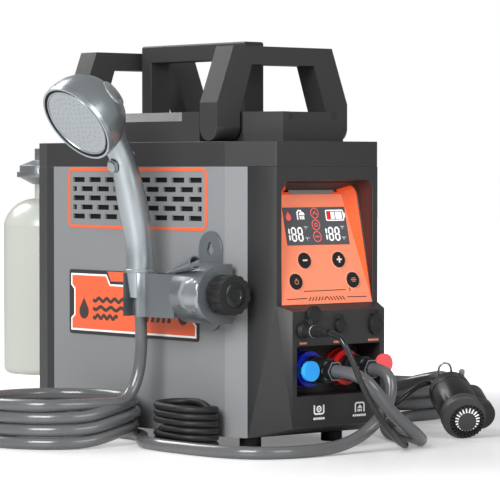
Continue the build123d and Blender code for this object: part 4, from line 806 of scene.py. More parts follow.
class HEATER_OT_vent_trims(bpy.types.Operator):
    """Painted outline round the vent slots of both side panels, and a black plate behind the slots, painted
    shade of the inside
    """
    bl_idname = "heater.vent_trims"
    bl_label = "Vent trims"

    def execute(self, context):
        finishes = heater_finishes()
        half = context.scene.heater_sizes.trim_line / MM / 2
        for side, place, middle in (("left", LEFT, -VENT_MIDDLE), ("right", RIGHT, VENT_MIDDLE)):
            faces = ring(vent_outline(middle, half, VENT_CORNER), vent_outline(middle, -half, VENT_CORNER))
            plate(f"vent_trim_{side}", place, faces, 0.0, TRIM_RISE, finishes["accent"], slot="badge",
                  edge=SMALL_EDGE)
            vent_shade = vent_outline(middle, 0.0, VENT_SHADE_CORNER)
            plate(f"vent_screen_{side}", place, [vent_shade], VENT_SHADE_BACK, VENT_SHADE_FRONT, finishes["void"],
                  slot="frame_dark")
        return {"FINISHED"}


BADGE_BOX = node_box("badge_plate")
BADGE_CORNER = (-BADGE_BOX[1].y, BADGE_BOX[1].z)
BADGE_FACE = -BADGE_BOX[0].x - HALF_WIDTH
BADGE_OUTLINE = [(4.3, 5.0), (64.8, 5.0), (71.3, 15.0), (146.7, 15.0), (153.2, 5.0), (213.7, 5.0),
                 (213.7, 16.0), (208.3, 20.2), (208.3, 47.8), (213.7, 52.0), (213.7, 63.6), (4.3, 63.6),
                 (4.3, 52.0), (9.7, 47.8), (9.7, 20.2), (4.3, 16.0)]
BADGE_TAB = [(66.5, 0.8), (151.5, 0.8), (145.5, 11.0), (72.5, 11.0)]
DROP_PLACES, DROP_HEIGHT, DROP_RADIUS = (26.0, 193.0), 44.0, 8.0
WAVE_START, WAVE_ENDS, WAVE_TOP, WAVE_PITCH = 42.0, (96.0, 112.0, 84.0), 31.0, 9.0
WAVE_SWING, WAVE_LINE, WAVE_STEPS = 1.8, 3.6, 24
SLANT_COUNT, SLANT_START, SLANT_PITCH = 6, 122.0, 9.0


def on_badge(points):
    """Place on the left panel of points given from the badge's upper rear corner, right and down."""
    return [(BADGE_CORNER[0] + u, BADGE_CORNER[1] - v) for u, v in points]


class HEATER_OT_badge_print(bpy.types.Operator):
    """Orange field, white line and plain drop-and-wave marks of the badge"""
    bl_idname = "heater.badge_print"
    bl_label = "Badge print"

    def execute(self, context):
        finishes = heater_finishes()
        rise = context.scene.heater_sizes.print_rise / MM
        low, middle, high = BADGE_FACE, BADGE_FACE + rise, BADGE_FACE + 2 * rise
        field = on_badge(BADGE_OUTLINE)
        plate("badge_field", LEFT, [field], low, middle, finishes["badge_orange"], slot="badge")
        plate("badge_tab", LEFT, [on_badge(BADGE_TAB)], low, middle, finishes["badge_orange"], slot="badge")
        line = stroke(field, 2.0, closed=True)
        plate("badge_line", LEFT, line, middle, high, finishes["white"], slot="handset_light")
        marks = [drop(BADGE_CORNER[0] + u, BADGE_CORNER[1] - DROP_HEIGHT, DROP_RADIUS) for u in DROP_PLACES]
        marks += self.waves() + self.slants()
        plate("badge_marks", LEFT, marks, middle, high, finishes["ink"], slot="cap_dark")
        return {"FINISHED"}

    def waves(self):
        faces = []
        for row, end in enumerate(WAVE_ENDS):
            height = WAVE_TOP + WAVE_PITCH * row
            wave = []
            for i in range(WAVE_STEPS + 1):
                along = WAVE_START + (end - WAVE_START) * i / WAVE_STEPS
                wave.append((along, height + WAVE_SWING * math.sin(i * math.pi / 3)))
            faces += stroke(on_badge(wave), WAVE_LINE)
        return faces

    def slants(self):
        starts = [SLANT_START + SLANT_PITCH * index for index in range(SLANT_COUNT)]
        return [on_badge([(u, 51.0), (u + 5.0, 51.0), (u + 12.0, 28.0), (u + 7.0, 28.0)]) for u in starts]


# Control face: marks are given as (x, z) and laid on the slope

def face_marks(faces):
    return [[on_face(x, z) for x, z in face] for face in faces]


NICHE_TOP, NICHE_TOP_DROP, NICHE_FOOT = 269.7, 9.7, 150.0
NICHE_CORNER_X, NICHE_TAPER, NICHE_ROUND = 51.6, 21.6, 10.0
# Gap, thickness and start of the painted reflection on the niche's right wall
REFLECTION_GAP, REFLECTION_THICK, REFLECTION_START = 0.15, 0.1, 0.02
TRAY_SLOPE_SHARE, TRAY_GAP, LEAST_DEPTH = 0.5, 0.028, 0.03
TAB_LEVELS, SHADE_LEVELS = (-0.5, 0.1), (-0.8, -0.2)
TOP_TAB = [(-31.0, 259.4), (-28.4, 255.3), (27.4, 255.3), (32.0, 259.4)]
# Top wall of the niche, and the dark plate on it that is painted shade
TOP_WALL = Place((0, FACE_Y, NICHE_TOP), (1, 0, 0), (0, FACE_RUN, -NICHE_TOP_DROP))
TOP_SHADE = [(-52.0, 6.0), (48.0, 6.0), (33.5, 27.4), (-37.0, 27.4)]
SHEET_LINES = (([(-29.3, 158.2), (26.9, 158.6)], 0.8), ([(32.7, 157.0), (32.7, 160.4)], 0.9),
               ([(-53.0, 150.8), (-26.6, 151.2)], 0.8), ([(27.6, 151.2), (54.0, 151.0)], 0.8))
HATCH_COUNT, HATCH_START, HATCH_PITCH, HATCH_LEAN, HATCH_LINE = 12, -22.5, 4.1, 1.5, 1.15
HATCH_LOW, HATCH_HIGH = 148.6, 152.4
KEYS = {"minus": (-23.0, 188.7), "plus": (23.0, 188.7), "power": (-38.4, 168.0), "mode": (38.4, 168.0)}
HALO_OUTER, HALO_INNER = 9.4, 8.4


def niche_point(up, turn, depth):
    """Point on the niche's right wall: share of its height, turn round its corner, share of its depth."""
    angle, radius = math.radians(turn), NICHE_ROUND - REFLECTION_GAP
    corner = NICHE_TOP - NICHE_ROUND - NICHE_TOP_DROP * depth
    return Vector((NICHE_CORNER_X - NICHE_TAPER * depth + radius * math.cos(angle), FACE_Y + FACE_RUN * depth,
                   NICHE_FOOT + (corner - NICHE_FOOT) * up + radius * math.sin(angle))) * MM


def tray_depth(up, turn):
    """Share of the niche's depth at which its wall meets the tray, found in a few rounds."""
    depth = 0.4
    for _ in range(6):
        height = niche_point(up, turn, depth).z / MM
        depth = TRAY_SLOPE_SHARE * (height - FACE_FOOT) / FACE_RISE - TRAY_GAP
    return max(depth, LEAST_DEPTH)


class HEATER_OT_control_print(bpy.types.Operator):
    """Grey tab, painted shade on the niche's top wall, a painted reflection of the tray on its right wall,
    lines and hatching of the printed control sheet
    """
    bl_idname = "heater.control_print"
    bl_label = "Control print"

    def execute(self, context):
        finishes = heater_finishes()
        rise = context.scene.heater_sizes.print_rise / MM
        plate("control_tab", FACE, face_marks([TOP_TAB]), *TAB_LEVELS, finishes["tab_grey"],
              slot="panel_grey")
        plate("control_brow", TOP_WALL, [TOP_SHADE], *SHADE_LEVELS, finishes["recess"], slot="frame_dark")
        self.niche_reflection(finishes["niche_reflection"])
        lines = []
        for points, width in SHEET_LINES:
            lines += stroke(points, width)
        for index in range(HATCH_COUNT):
            x = HATCH_START + HATCH_PITCH * index
            lean = HATCH_LEAN if index < HATCH_COUNT / 2 else -HATCH_LEAN
            lines += stroke([(x - lean, HATCH_LOW), (x + lean, HATCH_HIGH)], HATCH_LINE)
        plate("control_lines", FACE, face_marks(lines), 0.0, rise, finishes["ink"], slot="cap_dark")
        halos = []
        for x, z in KEYS.values():
            a, b = on_face(x, z)
            halos += ring(circle(HALO_OUTER, a, b), circle(HALO_INNER, a, b))
        plate("key_halos", FACE, halos, 0.0, rise, finishes["halo"], slot="overlay_salmon")
        return {"FINISHED"}

    def niche_reflection(self, material):
        """Painted reflection of the orange tray in dark red painted shade, on the niche's right wall and its
        upper corner, from the mouth to the tray.
        """
        bm = bmesh.new()
        rows = []
        for up, turn in [(0.0, 0.0), (0.5, 0.0)] + [(1.0, 8.5 * i) for i in range(11)]:
            span = tray_depth(up, turn) - REFLECTION_START
            rows.append([bm.verts.new(niche_point(up, turn, REFLECTION_START + span * i / 4)) for i in range(5)])
        bridge(bm, rows, closed=False)
        piece = join_piece("niche_lining", bm, material, CABINET, "frame_dark", SHEET_ANGLE)
        thicken(piece, REFLECTION_THICK, 0.0)


DISPLAY_LIFT = 0.23
WARNING_PLACES = ((0.0, 235.9), (-0.3, 224.1), (-0.7, 212.4))
ONE_EIGHT_EIGHT = ("bc", "abcdefg", "abcdefg")
# Left end and height of each lit number
NUMBERS, NUMBER_FOOT = ((-43.6, 14.3), (6.2, 14.0)), 207.8
DIGIT_WIDTH, DIGIT_LINE, DIGIT_PITCH = 6.9, 1.7, 8.6
DEGREE_SIGNS = ((-13.2, 219.6), (-13.0, 208.6), (36.2, 219.4), (36.4, 208.6))
BATTERY_MIDDLE = (26.9, 233.5)
# Two cells and the pole of the battery
CELLS = ((21.6, 26.6, 229.9, 237.1), (27.9, 36.4, 229.9, 237.1), (39.2, 41.0, 231.2, 235.8))
CHARGE_CELL = (16.6, 20.6, 229.6, 237.4)
WATER_DROP = (-35.6, 232.0, 3.3)


class HEATER_OT_display(bpy.types.Operator):
    """Lit numbers, battery and symbols of the display"""
    bl_idname = "heater.display"
    bl_label = "Display"

    def execute(self, context):
        white = lit("display_white", tone("F4F4F2"), 0.35)
        dim = lit("display_dim", tone("B9BABB"), 0.15)
        red = lit("display_red", tone("F2605C"), 0.2)
        charge = lit("display_charge", tone("E0161C"), 0.25)
        digits = []
        for left, height in NUMBERS:
            digits += number(ONE_EIGHT_EIGHT, left, NUMBER_FOOT, DIGIT_WIDTH, height, DIGIT_LINE, DIGIT_PITCH)
        low, high = DISPLAY_LIFT, DISPLAY_LIFT + context.scene.heater_sizes.print_rise / MM
        for name, faces, material, slot in (
                ("display_numbers", digits + self.battery() + self.shower(), white, "handset_light"),
                ("display_units", self.degrees(), dim, "handset_light"),
                ("display_warnings", self.warnings() + [drop(*WATER_DROP)], red, "cap_red"),
                ("display_charge", [bar(*CHARGE_CELL)], charge, "cap_red")):
            plate(name, FACE, face_marks(faces), low, high, material, slot=slot)
        return {"FINISHED"}

    def battery(self):
        outline = ring(moved(round_box(12.3, 5.6, 1.8), *BATTERY_MIDDLE),
                       moved(round_box(11.1, 4.4, 0.9), *BATTERY_MIDDLE))
        return outline + [bar(*cell) for cell in CELLS]

    def shower(self):
        pipe = stroke([(-23.4, 229.6), (-23.4, 237.0), (-21.2, 238.8), (-17.4, 238.2)], 1.5)
        head = [(-21.4, 234.2), (-13.4, 234.2), (-14.6, 236.6), (-17.4, 237.8), (-20.2, 236.6)]
        jets = [bar(-20.6 + 2.3 * i, -19.2 + 2.3 * i, 229.8, 233.4) for i in range(3)]
        return pipe + [head] + jets

    def degrees(self):
        """Small degree signs beside the numbers."""
        faces = []
        for x, z in DEGREE_SIGNS:
            faces += stroke([(x - 1.5, z), (x - 1.5, z + 2.6), (x + 1.4, z + 2.6)], 0.8)
            faces += ring(circle(0.8, x - 2.8, z + 2.9, 10), circle(0.3, x - 2.8, z + 2.9, 10))
        return faces

    def warnings(self):
        """Three ringed signs in a column: a peak, a ring and a wave."""
        signs = (stroke([(-2.6, -1.6), (0.0, 1.6), (2.6, -1.6)], 0.9),
                 ring(circle(2.2, steps=20), circle(1.4, steps=20)),
                 stroke([(-2.8, -0.6), (-0.9, 0.8), (0.9, -0.8), (2.8, 0.6)], 0.9))
        faces = []
        for (x, z), sign in zip(WARNING_PLACES, signs):
            faces += ring(circle(5.5, x, z), circle(4.6, x, z)) + [moved(face, x, z) for face in sign]
        return faces


KEY_TOP, KEY_RIM_TOP, KEY_RIM_OUTER, KEY_RIM_INNER = 1.6, 1.75, 7.6, 6.9
KEY_SIGNS = {
    "minus": [bar(-3.0, 3.0, -0.8, 0.8)],
    "plus": [bar(-3.4, 3.4, -0.9, 0.9), bar(-0.9, 0.9, 0.9, 3.4), bar(-0.9, 0.9, -3.4, -0.9)],
    "power": ring(circle(2.7, 0, -0.4, 24), circle(2.0, 0, -0.4, 24)) + [bar(-0.4, 0.4, 0.2, 3.4)],
    "mode": [bar(-3.6, 3.6, -0.5, 0.5), bar(-2.4, 2.4, 1.3, 2.1), bar(-2.4, 2.4, -2.1, -1.3)],
}


class HEATER_OT_key_marks(bpy.types.Operator):
    """Signs on the four round keys"""
    bl_idname = "heater.key_marks"
    bl_label = "Key signs"

    def execute(self, context):
        finishes = heater_finishes()
        rise = context.scene.heater_sizes.print_rise / MM
        for key, faces in KEY_SIGNS.items():
            a, b = on_face(*KEYS[key])
            tint = finishes["key_pale"] if key in ("minus", "plus") else finishes["key_dim"]
            plate(f"sign_{key}", FACE, [moved(face, a, b) for face in faces], KEY_TOP, KEY_TOP + rise, tint,
                  body=f"{key}_key", slot="overlay_salmon")
            rim = ring(circle(KEY_RIM_OUTER, a, b, 48), circle(KEY_RIM_INNER, a, b, 48))
            plate(f"key_rim_{key}", FACE, rim, KEY_TOP, KEY_RIM_TOP, finishes["gloss_black"],
                  body=f"{key}_key", slot="rubber_black")
        return {"FINISHED"}


TUB_LINE = [(-33.0, 45.6), (-33.0, 38.0), (-31.6, 36.7), (-22.0, 36.7), (-20.6, 38.0), (-20.6, 45.6)]
TUB_SWIRL = (-26.8, 41.6)
ARCH_LINE = [(22.2, 35.8), (22.2, 43.8), (23.6, 45.1), (32.6, 45.1), (34.0, 43.8), (34.0, 35.8)]
ARCH_ROSE = [(25.0, 39.8), (31.6, 39.8), (28.3, 43.2)]
WATER_TICKS = ((-34.2, -18.8, 31.0, 33.2, 6), (18.7, 36.8, 31.4, 33.6, 7))
SOCKET_TICKS = ((-52.3, -42.5, 106.8, 108.9, 4), (-7.1, 2.0, 106.8, 108.9, 3), (39.6, 54.2, 106.9, 109.0, 6))


class HEATER_OT_console_print(bpy.types.Operator):
    """White water signs and small marks under the sockets on the console"""
    bl_idname = "heater.console_print"
    bl_label = "Console print"

    def execute(self, context):
        finishes = heater_finishes()
        rise = context.scene.heater_sizes.print_rise / MM
        tub = stroke(TUB_LINE, 1.6) + ring(circle(3.4, *TUB_SWIRL, 24), circle(1.9, *TUB_SWIRL, 24))
        tub.append(circle(0.9, *TUB_SWIRL, 12))
        arch = stroke(ARCH_LINE, 1.5) + [ARCH_ROSE]
        arch += [bar(25.2 + 2.2 * i, 26.5 + 2.2 * i, 36.2, 38.8) for i in range(3)]
        ticks = [face for row in WATER_TICKS for face in tick_row(*row)]
        plate("water_signs", CONSOLE, tub + arch + ticks, 0.0, rise, finishes["white"], slot="handset_light")
        labels = [face for row in SOCKET_TICKS for face in tick_row(*row)]
        plate("socket_labels", CONSOLE, labels, 0.0, rise, finishes["label_orange"], slot="overlay_salmon")
        return {"FINISHED"}


# Small turned and pressed pieces: a profile is (radius, distance along the axis) of each of its points

FORWARD = (0.0, -1.0, 0.0)
PLUG_AXIS = (-50.0, 0.0, 120.5)
PLUG_COLLAR = [(5.6, 212.6), (7.4, 212.6), (7.7, 213.4), (7.7, 216.0), (7.1, 216.8), (7.1, 218.2),
               (6.1, 219.4)]
PLUG_BAND = [(5.9, 230.2), (6.25, 230.4), (6.25, 231.4), (5.9, 231.6)]
SLEEVE_RIBS, SLEEVE_START, SLEEVE_PITCH, SLEEVE_RADIUS, SLEEVE_TAPER = 7, 233.6, 2.5, 6.0, 0.2
HEX_HEIGHT, HEX_OUTER, HEX_INNER = 80.0, 10.4, 9.5
# Levels of the grey outlines on the hose nuts, painted highlights of the nut edges
NUT_HIGHLIGHT_LEVELS = {"edge": (19.3, 19.7), "seat": (9.4, 9.8)}
# Name, X, height and radius of the rim of each socket cap
SOCKET_CAPS = (("usb", 0.0, 123.8, 6.4), ("dc", 47.5, 123.8, 7.1), ("pump", -36.0, 136.0, 8.4))


class HEATER_OT_plug_details(bpy.types.Operator):
    """Collar, band and ribs of the pump plug, rims of the socket caps, grey outlines on the hose nuts that
    are painted highlights of their edges
    """
    bl_idname = "heater.plug_details"
    bl_label = "Plug details"

    def execute(self, context):
        finishes = heater_finishes()
        turned("plug_collar", PLUG_COLLAR, PLUG_AXIS, FORWARD, finishes["rubber"], slot="cable_black")
        turned("plug_band", PLUG_BAND, PLUG_AXIS, FORWARD, finishes["steel"], slot="sheet_steel")
        ribs = []
        for index in range(SLEEVE_RIBS):
            start = SLEEVE_START + SLEEVE_PITCH * index
            outer = SLEEVE_RADIUS - SLEEVE_TAPER * index
            inner = outer - 0.9
            ribs += [(inner, start), (outer, start + 0.3), (outer, start + 1.4), (inner, start + 1.7)]
        turned("plug_sleeve", ribs, PLUG_AXIS, FORWARD, finishes["rubber"], slot="cable_black")
        for name, x in (("inlet", -22.0), ("outlet", 27.0)):
            edge = ring(circle(HEX_OUTER, x, HEX_HEIGHT, 6), circle(HEX_INNER, x, HEX_HEIGHT, 6))
            for part, (low, high) in NUT_HIGHLIGHT_LEVELS.items():
                plate(f"{name}_nut_{part}", CONSOLE, edge, low, high, finishes["nozzle"],
                      slot="coupler_black")
        for name, x, z, radius in SOCKET_CAPS:
            rim = [(radius - 1.3, 216.4), (radius - 1.1, 216.9), (radius - 0.3, 216.9), (radius, 216.4)]
            turned(f"cap_rim_{name}", rim, (x, 0.0, z), FORWARD, finishes["rubber"], f"{name}_flap",
                   "rubber_black")
        return {"FINISHED"}


HEAD_ORIGIN, HEAD_TILT = (-204.3, -47.0, 325.5), math.radians(36.4)
HEAD_AXIS = (math.cos(HEAD_TILT), 0.0, math.sin(HEAD_TILT))
SPRAY = Place(HEAD_ORIGIN, (0, -1, 0), (-HEAD_AXIS[2], 0, HEAD_AXIS[0]))
SPRAY_PITCH, SPRAY_ROWS, NOZZLE_RADIUS, NOZZLE_LEVELS = 6.0, 5, 0.55, (-1.5, -1.25)
# Black ring in the gap round the spray plate: painted shade
FACE_GAP_SHADE = [(38.6, 1.5), (38.6, 1.25), (41.0, 1.25), (41.0, 1.6)]
FACE_LIP = [(36.6, 1.5), (36.9, 0.8), (37.5, 0.55), (38.1, 0.8), (38.4, 1.5)]
HANDLE_AXIS = (-123.5, -47.0, 0.0)
HANDLE_COLLAR = [(13.9, 175.2), (14.5, 175.5), (14.5, 178.4), (14.1, 178.8)]
BUTTON_PLACE, BUTTON_WAY = (-158.5, -47.0, 283.0), (-0.93, 0.0, -0.37)
BUTTON_SEAT = [(5.9, -0.6), (5.9, 0.7), (7.0, 0.5), (7.4, -0.6)]
SWITCH_PLACE, SWITCH_WAY = (-134.4, -47.0, 296.0), (0.93, 0.0, 0.37)
FLOW_SWITCH = [(3.6, -1.5), (3.6, 1.2), (3.0, 1.8), (0.0, 2.0)]
HEAD_CROWN = [(41.0, 6.0), (43.7, 4.6), (43.6, 13.0), (42.0, 22.5), (38.2, 32.0), (30.5, 41.0), (22.0, 46.0),
              (13.0, 48.4), (0.0, 48.9)]
DISC_PLACE, DISC_WAY = (-178.5, -75.8, 356.2), (0.422, -0.686, 0.59)
CROWN_DISC = [(0.0, -5.0), (14.2, -5.0), (14.8, -0.6), (14.3, 0.3), (12.8, 0.6), (0.0, 0.6)]


class HEATER_OT_handset_details(bpy.types.Operator):
    """Rings and nozzles of the spray plate, with a black ring of painted shade in the gap round it, collar,
    button seat, small switch and crown of the handset
    """
    bl_idname = "heater.handset_details"
    bl_label = "Handset details"

    def execute(self, context):
        finishes = heater_finishes()
        turned("face_gap", FACE_GAP_SHADE, HEAD_ORIGIN, HEAD_AXIS, finishes["void"], HOLDER, "knob_black", FINE)
        turned("face_lip", FACE_LIP, HEAD_ORIGIN, HEAD_AXIS, finishes["handset"], HOLDER, "handset_silver",
               FINE)
        nozzles = []
        for row in range(1, SPRAY_ROWS + 1):
            for a, b in circle(SPRAY_PITCH * row, steps=6 * row):
                nozzles.append(circle(NOZZLE_RADIUS, a, b, 8))
        plate("spray_nozzles", SPRAY, nozzles, *NOZZLE_LEVELS, finishes["nozzle"], HOLDER, "holder_steel")
        turned("handle_collar", HANDLE_COLLAR, HANDLE_AXIS, (0, 0, 1), finishes["handset_light"], HOLDER,
               "handset_silver", FINE)
        turned("button_seat", BUTTON_SEAT, BUTTON_PLACE, BUTTON_WAY, finishes["nozzle"], HOLDER, "knob_black")
        turned("flow_switch", FLOW_SWITCH, SWITCH_PLACE, SWITCH_WAY, finishes["handset_light"], HOLDER,
               "handset_light")
        turned("head_crown", HEAD_CROWN, HEAD_ORIGIN, HEAD_AXIS, finishes["handset"], HOLDER,
               "handset_silver", 128, SHEET_ANGLE)
        turned("crown_disc", CROWN_DISC, DISC_PLACE, DISC_WAY, finishes["handset_light"], HOLDER,
               "handset_silver")
        return {"FINISHED"}


PIVOT = (-106.0, 156.0)
STRAP_RADIUS = 30.0
CURL_START, CURL_END = (-128.0, -97.0, 176.5), (-129.5, -143.0, 187.5)
CURL_THICK, CURL_EDGE = 1.3, 0.3
CURL_ROWS, CURL_STEPS = 16, 28
CURL_RADIUS, CURL_GROWTH, CURL_TIGHTEN = 1.4, 6.6, 0.22
CURL_TURN_START, CURL_TURN = -150, 300
# Name, size, Y, lift off the strap, finish and slot
RATCHETS = (("ratchet_shadow", 12.0, -136.5, 0.15, "nozzle", "knob_black"),
            ("ratchet_plate", 12.4, -142.3, 0.9, "holder_light", "holder_steel"))
RATCHET_STEPS, RATCHET_ROWS, RATCHET_TEETH, RATCHET_WAVE, RATCHET_STRETCH = 72, 8, 8, 0.07, 1.45
KNOB_END = (PIVOT[0], -177.0, PIVOT[1])
KNOB_CAP = [(12.5, 0.0), (12.5, 0.7), (11.6, 1.2), (7.0, 1.2), (6.4, 0.5), (0.0, 0.5)]


def on_strap(s, y, lift):
    """Point on the round outside of the holder's strap; s runs up round it from its outermost line."""
    reach, turn = STRAP_RADIUS + lift, s / STRAP_RADIUS
    return Vector((PIVOT[0] - reach * math.cos(turn), y, PIVOT[1] + reach * math.sin(turn))) * MM


class HEATER_OT_holder_details(bpy.types.Operator):
    """Rolled edge of the holder arm, the ratchet plate on the strap and the end cap of the knob"""
    bl_idname = "heater.holder_details"
    bl_label = "Holder details"

    def execute(self, context):
        finishes = heater_finishes()
        self.curl(finishes["holder"])
        for name, size, y, lift, key, slot in RATCHETS:
            self.ratchet(name, size, y, lift, finishes[key], slot)
        turned("knob_cap", KNOB_CAP, KNOB_END, FORWARD, finishes["gloss_black"], "clamp_knob", "knob_black")
        return {"FINISHED"}

    def curl(self, material):
        """Rolled sheet, widening from the arm's top edge towards the knob."""
        start, end = Vector(CURL_START), Vector(CURL_END)
        along = (end - start).normalized()
        side = Vector((-1, 0, 0))
        side = (side - along * side.dot(along)).normalized()
        other = along.cross(side)
        bm = bmesh.new()
        rows = []
        for i in range(CURL_ROWS + 1):
            share = i / CURL_ROWS
            centre = start.lerp(end, share)
            radius = CURL_RADIUS + CURL_GROWTH * share ** 0.8
            row = []
            for k in range(CURL_STEPS + 1):
                t = math.radians(CURL_TURN_START + CURL_TURN * k / CURL_STEPS)
                spread = radius * (1 - CURL_TIGHTEN * k / CURL_STEPS)
                row.append(bm.verts.new((centre + (side * math.cos(t) + other * math.sin(t)) * spread) * MM))
            rows.append(row)
        bridge(bm, rows, closed=False)
        piece = join_piece("arm_curl", bm, material, HOLDER, "holder_steel", SHEET_ANGLE)
        thicken(piece, CURL_THICK, -1.0)
        round_edges(piece, CURL_EDGE, 50.0)

    def ratchet(self, name, size, y, lift, material, slot):
        """Scalloped plate, bent round the strap, with its rim turned down on it."""
        bm = bmesh.new()
        rows = []
        for k in range(RATCHET_ROWS + 1):
            share = max(0.02, k / RATCHET_ROWS)
            height = lift if k < RATCHET_ROWS else 0.02
            row = []
            for i in range(RATCHET_STEPS):
                t = 2 * math.pi * i / RATCHET_STEPS
                reach = size * (1 + RATCHET_WAVE * math.cos(RATCHET_TEETH * t)) * share
                point = on_strap(RATCHET_STRETCH * reach * math.sin(t), y + reach * math.cos(t), height)
                row.append(bm.verts.new(point))
            rows.append(row)
        bm.faces.new(rows[0])
        bridge(bm, rows, closed=True)
        join_piece(name, bm, material, CABINET, slot, 40.0)


PUMP_BASE, PUMP_AXIS = Vector((167.2, -221.2, 22.3)), Vector((0.50, 0.81, 0.31)).normalized()
PUMP_SIDE = Vector((PUMP_AXIS.y, -PUMP_AXIS.x, 0.0)).normalized()
PUMP_FOOT = Place(PUMP_BASE, PUMP_SIDE, (-PUMP_AXIS).cross(PUMP_SIDE))
STRAINER_FACE = [(0.0, -0.8), (21.6, -0.8), (22.7, -0.4), (23.5, 0.5), (23.5, 3.0)]
STRAINER_HUB = [(0.0, -2.3), (7.4, -2.2), (9.0, -1.8), (9.6, -0.8)]
INTAKE, HUB_DROP = (3.4, -3.6), 1.4
SHADE_RING_OUTER, SHADE_RING_INNER, SHADE_RING_LEVELS = 18.0, 9.0, (0.8, 0.95)
SLOT_COUNT, SLOT_HALF_ANGLE, SLOT_LOW, SLOT_HIGH, SLOT_SWAY = 22, 0.09, 9.4, 12.9, 1.9
SPIKE_COUNT, SPIKE_HALF_ANGLE, SPIKE_LOW, SPIKE_HIGH = 26, 0.07, 14.9, 18.2
SLOT_LEVELS, SPIKE_LEVELS = (0.9, 1.1), (0.9, 2.4)
LOBE_RADIUS, LOBE_PLACE, LOBE_LEVELS, LOBE_EDGE = 15.8, (17.5, 2.0), (-13.8, -0.4), 1.4
LOOP_ALONG, LOOP_THICK, STUD_PLACE = 76.0, 2.4, (12.5, 16.0)
LOOP_ROUTE = [(-12.0, 12.0), (-13.5, 22.0), (-11.5, 29.0), (-6.0, 31.5), (-0.5, 28.5), (1.5, 20.0),
              (1.0, 10.0)]
PUMP_STUD = [(3.1, -4.0), (3.1, 6.0), (2.4, 6.8), (0.0, 6.8)]
BARREL_BAND = [(22.2, 60.4), (22.7, 60.8), (22.7, 62.2), (22.2, 62.6)]
HOSE_CLAMP, HOSE_OFFSET = [(8.5, 84.0), (9.3, 84.3), (9.3, 87.7), (8.5, 88.0)], 6.0


class HEATER_OT_pump_details(bpy.types.Operator):
    """Strainer's face, hub, slots and spikes, lobe cover, wire loop and stud, band and clamp of the pump"""
    bl_idname = "heater.pump_details"
    bl_label = "Pump details"

    def execute(self, context):
        finishes = heater_finishes()
        self.strainer(finishes)
        cover = circle(LOBE_RADIUS, *LOBE_PLACE, 64)
        plate("lobe_cover", PUMP_FOOT, [cover], *LOBE_LEVELS, finishes["pump"], slot="pump_black",
              edge=LOBE_EDGE)
        points = [tuple(PUMP_FOOT.at(s, u, -LOOP_ALONG) / MM) for s, u in LOOP_ROUTE]
        fixed_line("pump_loop", points, LOOP_THICK * MM, finishes["steel"])
        stud = PUMP_FOOT.at(*STUD_PLACE, -LOOP_ALONG) / MM
        turned("pump_stud", PUMP_STUD, stud, PUMP_FOOT.up, finishes["nozzle"], slot="pump_grey")
        turned("barrel_band", BARREL_BAND, PUMP_BASE, PUMP_AXIS, finishes["pump"], slot="pump_black",
               steps=FINE)
        hose_end = PUMP_BASE + PUMP_SIDE * HOSE_OFFSET
        turned("hose_clamp", HOSE_CLAMP, hose_end, PUMP_AXIS, finishes["steel"], slot="pump_grey")
        return {"FINISHED"}

    def strainer(self, finishes):
        """Foot of the pump: its plain face, and round the intake a hub, a black ring of painted shade, slots
        painted white as light of the room seen through them, and spikes.
        """
        turned("strainer_face", STRAINER_FACE, PUMP_BASE, PUMP_AXIS, finishes["strainer"], slot="pump_grey",
               steps=FINE)
        a, b = INTAKE
        intake = PUMP_BASE + PUMP_FOOT.right * a + PUMP_FOOT.up * (b - HUB_DROP)
        turned("strainer_hub", STRAINER_HUB, intake, PUMP_AXIS, finishes["strainer"], slot="pump_grey")
        recess = ring(circle(SHADE_RING_OUTER, a, b, FINE), circle(SHADE_RING_INNER, a, b, FINE))
        # black ring round the intake: painted shade
        plate("strainer_recess", PUMP_FOOT, recess, *SHADE_RING_LEVELS, finishes["void"], slot="pump_black")
        slots, spikes = [], []
        for i in range(SLOT_COUNT):
            angle = 2 * math.pi * i / SLOT_COUNT
            slot = self.wedge(angle, SLOT_HALF_ANGLE, SLOT_LOW, SLOT_HIGH + SLOT_SWAY * math.sin(angle))
            slots.append(moved(slot, a, b))
        for i in range(SPIKE_COUNT):
            angle = 2 * math.pi * (i + 0.5) / SPIKE_COUNT
            spikes.append(moved(self.wedge(angle, SPIKE_HALF_ANGLE, SPIKE_LOW, SPIKE_HIGH), a, b))
        # white in the slots: painted light, the bright room seen through them
        plate("strainer_slots", PUMP_FOOT, slots, *SLOT_LEVELS, finishes["white"], slot="handset_light")
        plate("strainer_spikes", PUMP_FOOT, spikes, *SPIKE_LEVELS, finishes["black"], slot="pump_black",
              edge=SMALL_EDGE)

    def wedge(self, angle, half, low, high):
        """Block of even width between two radii."""
        return [(r * math.cos(angle + s * half * low / r), r * math.sin(angle + s * half * low / r))
                for r, s in ((low, -1), (high, -1), (high, 1), (low, 1))]


# Finishes of the CAD nodes

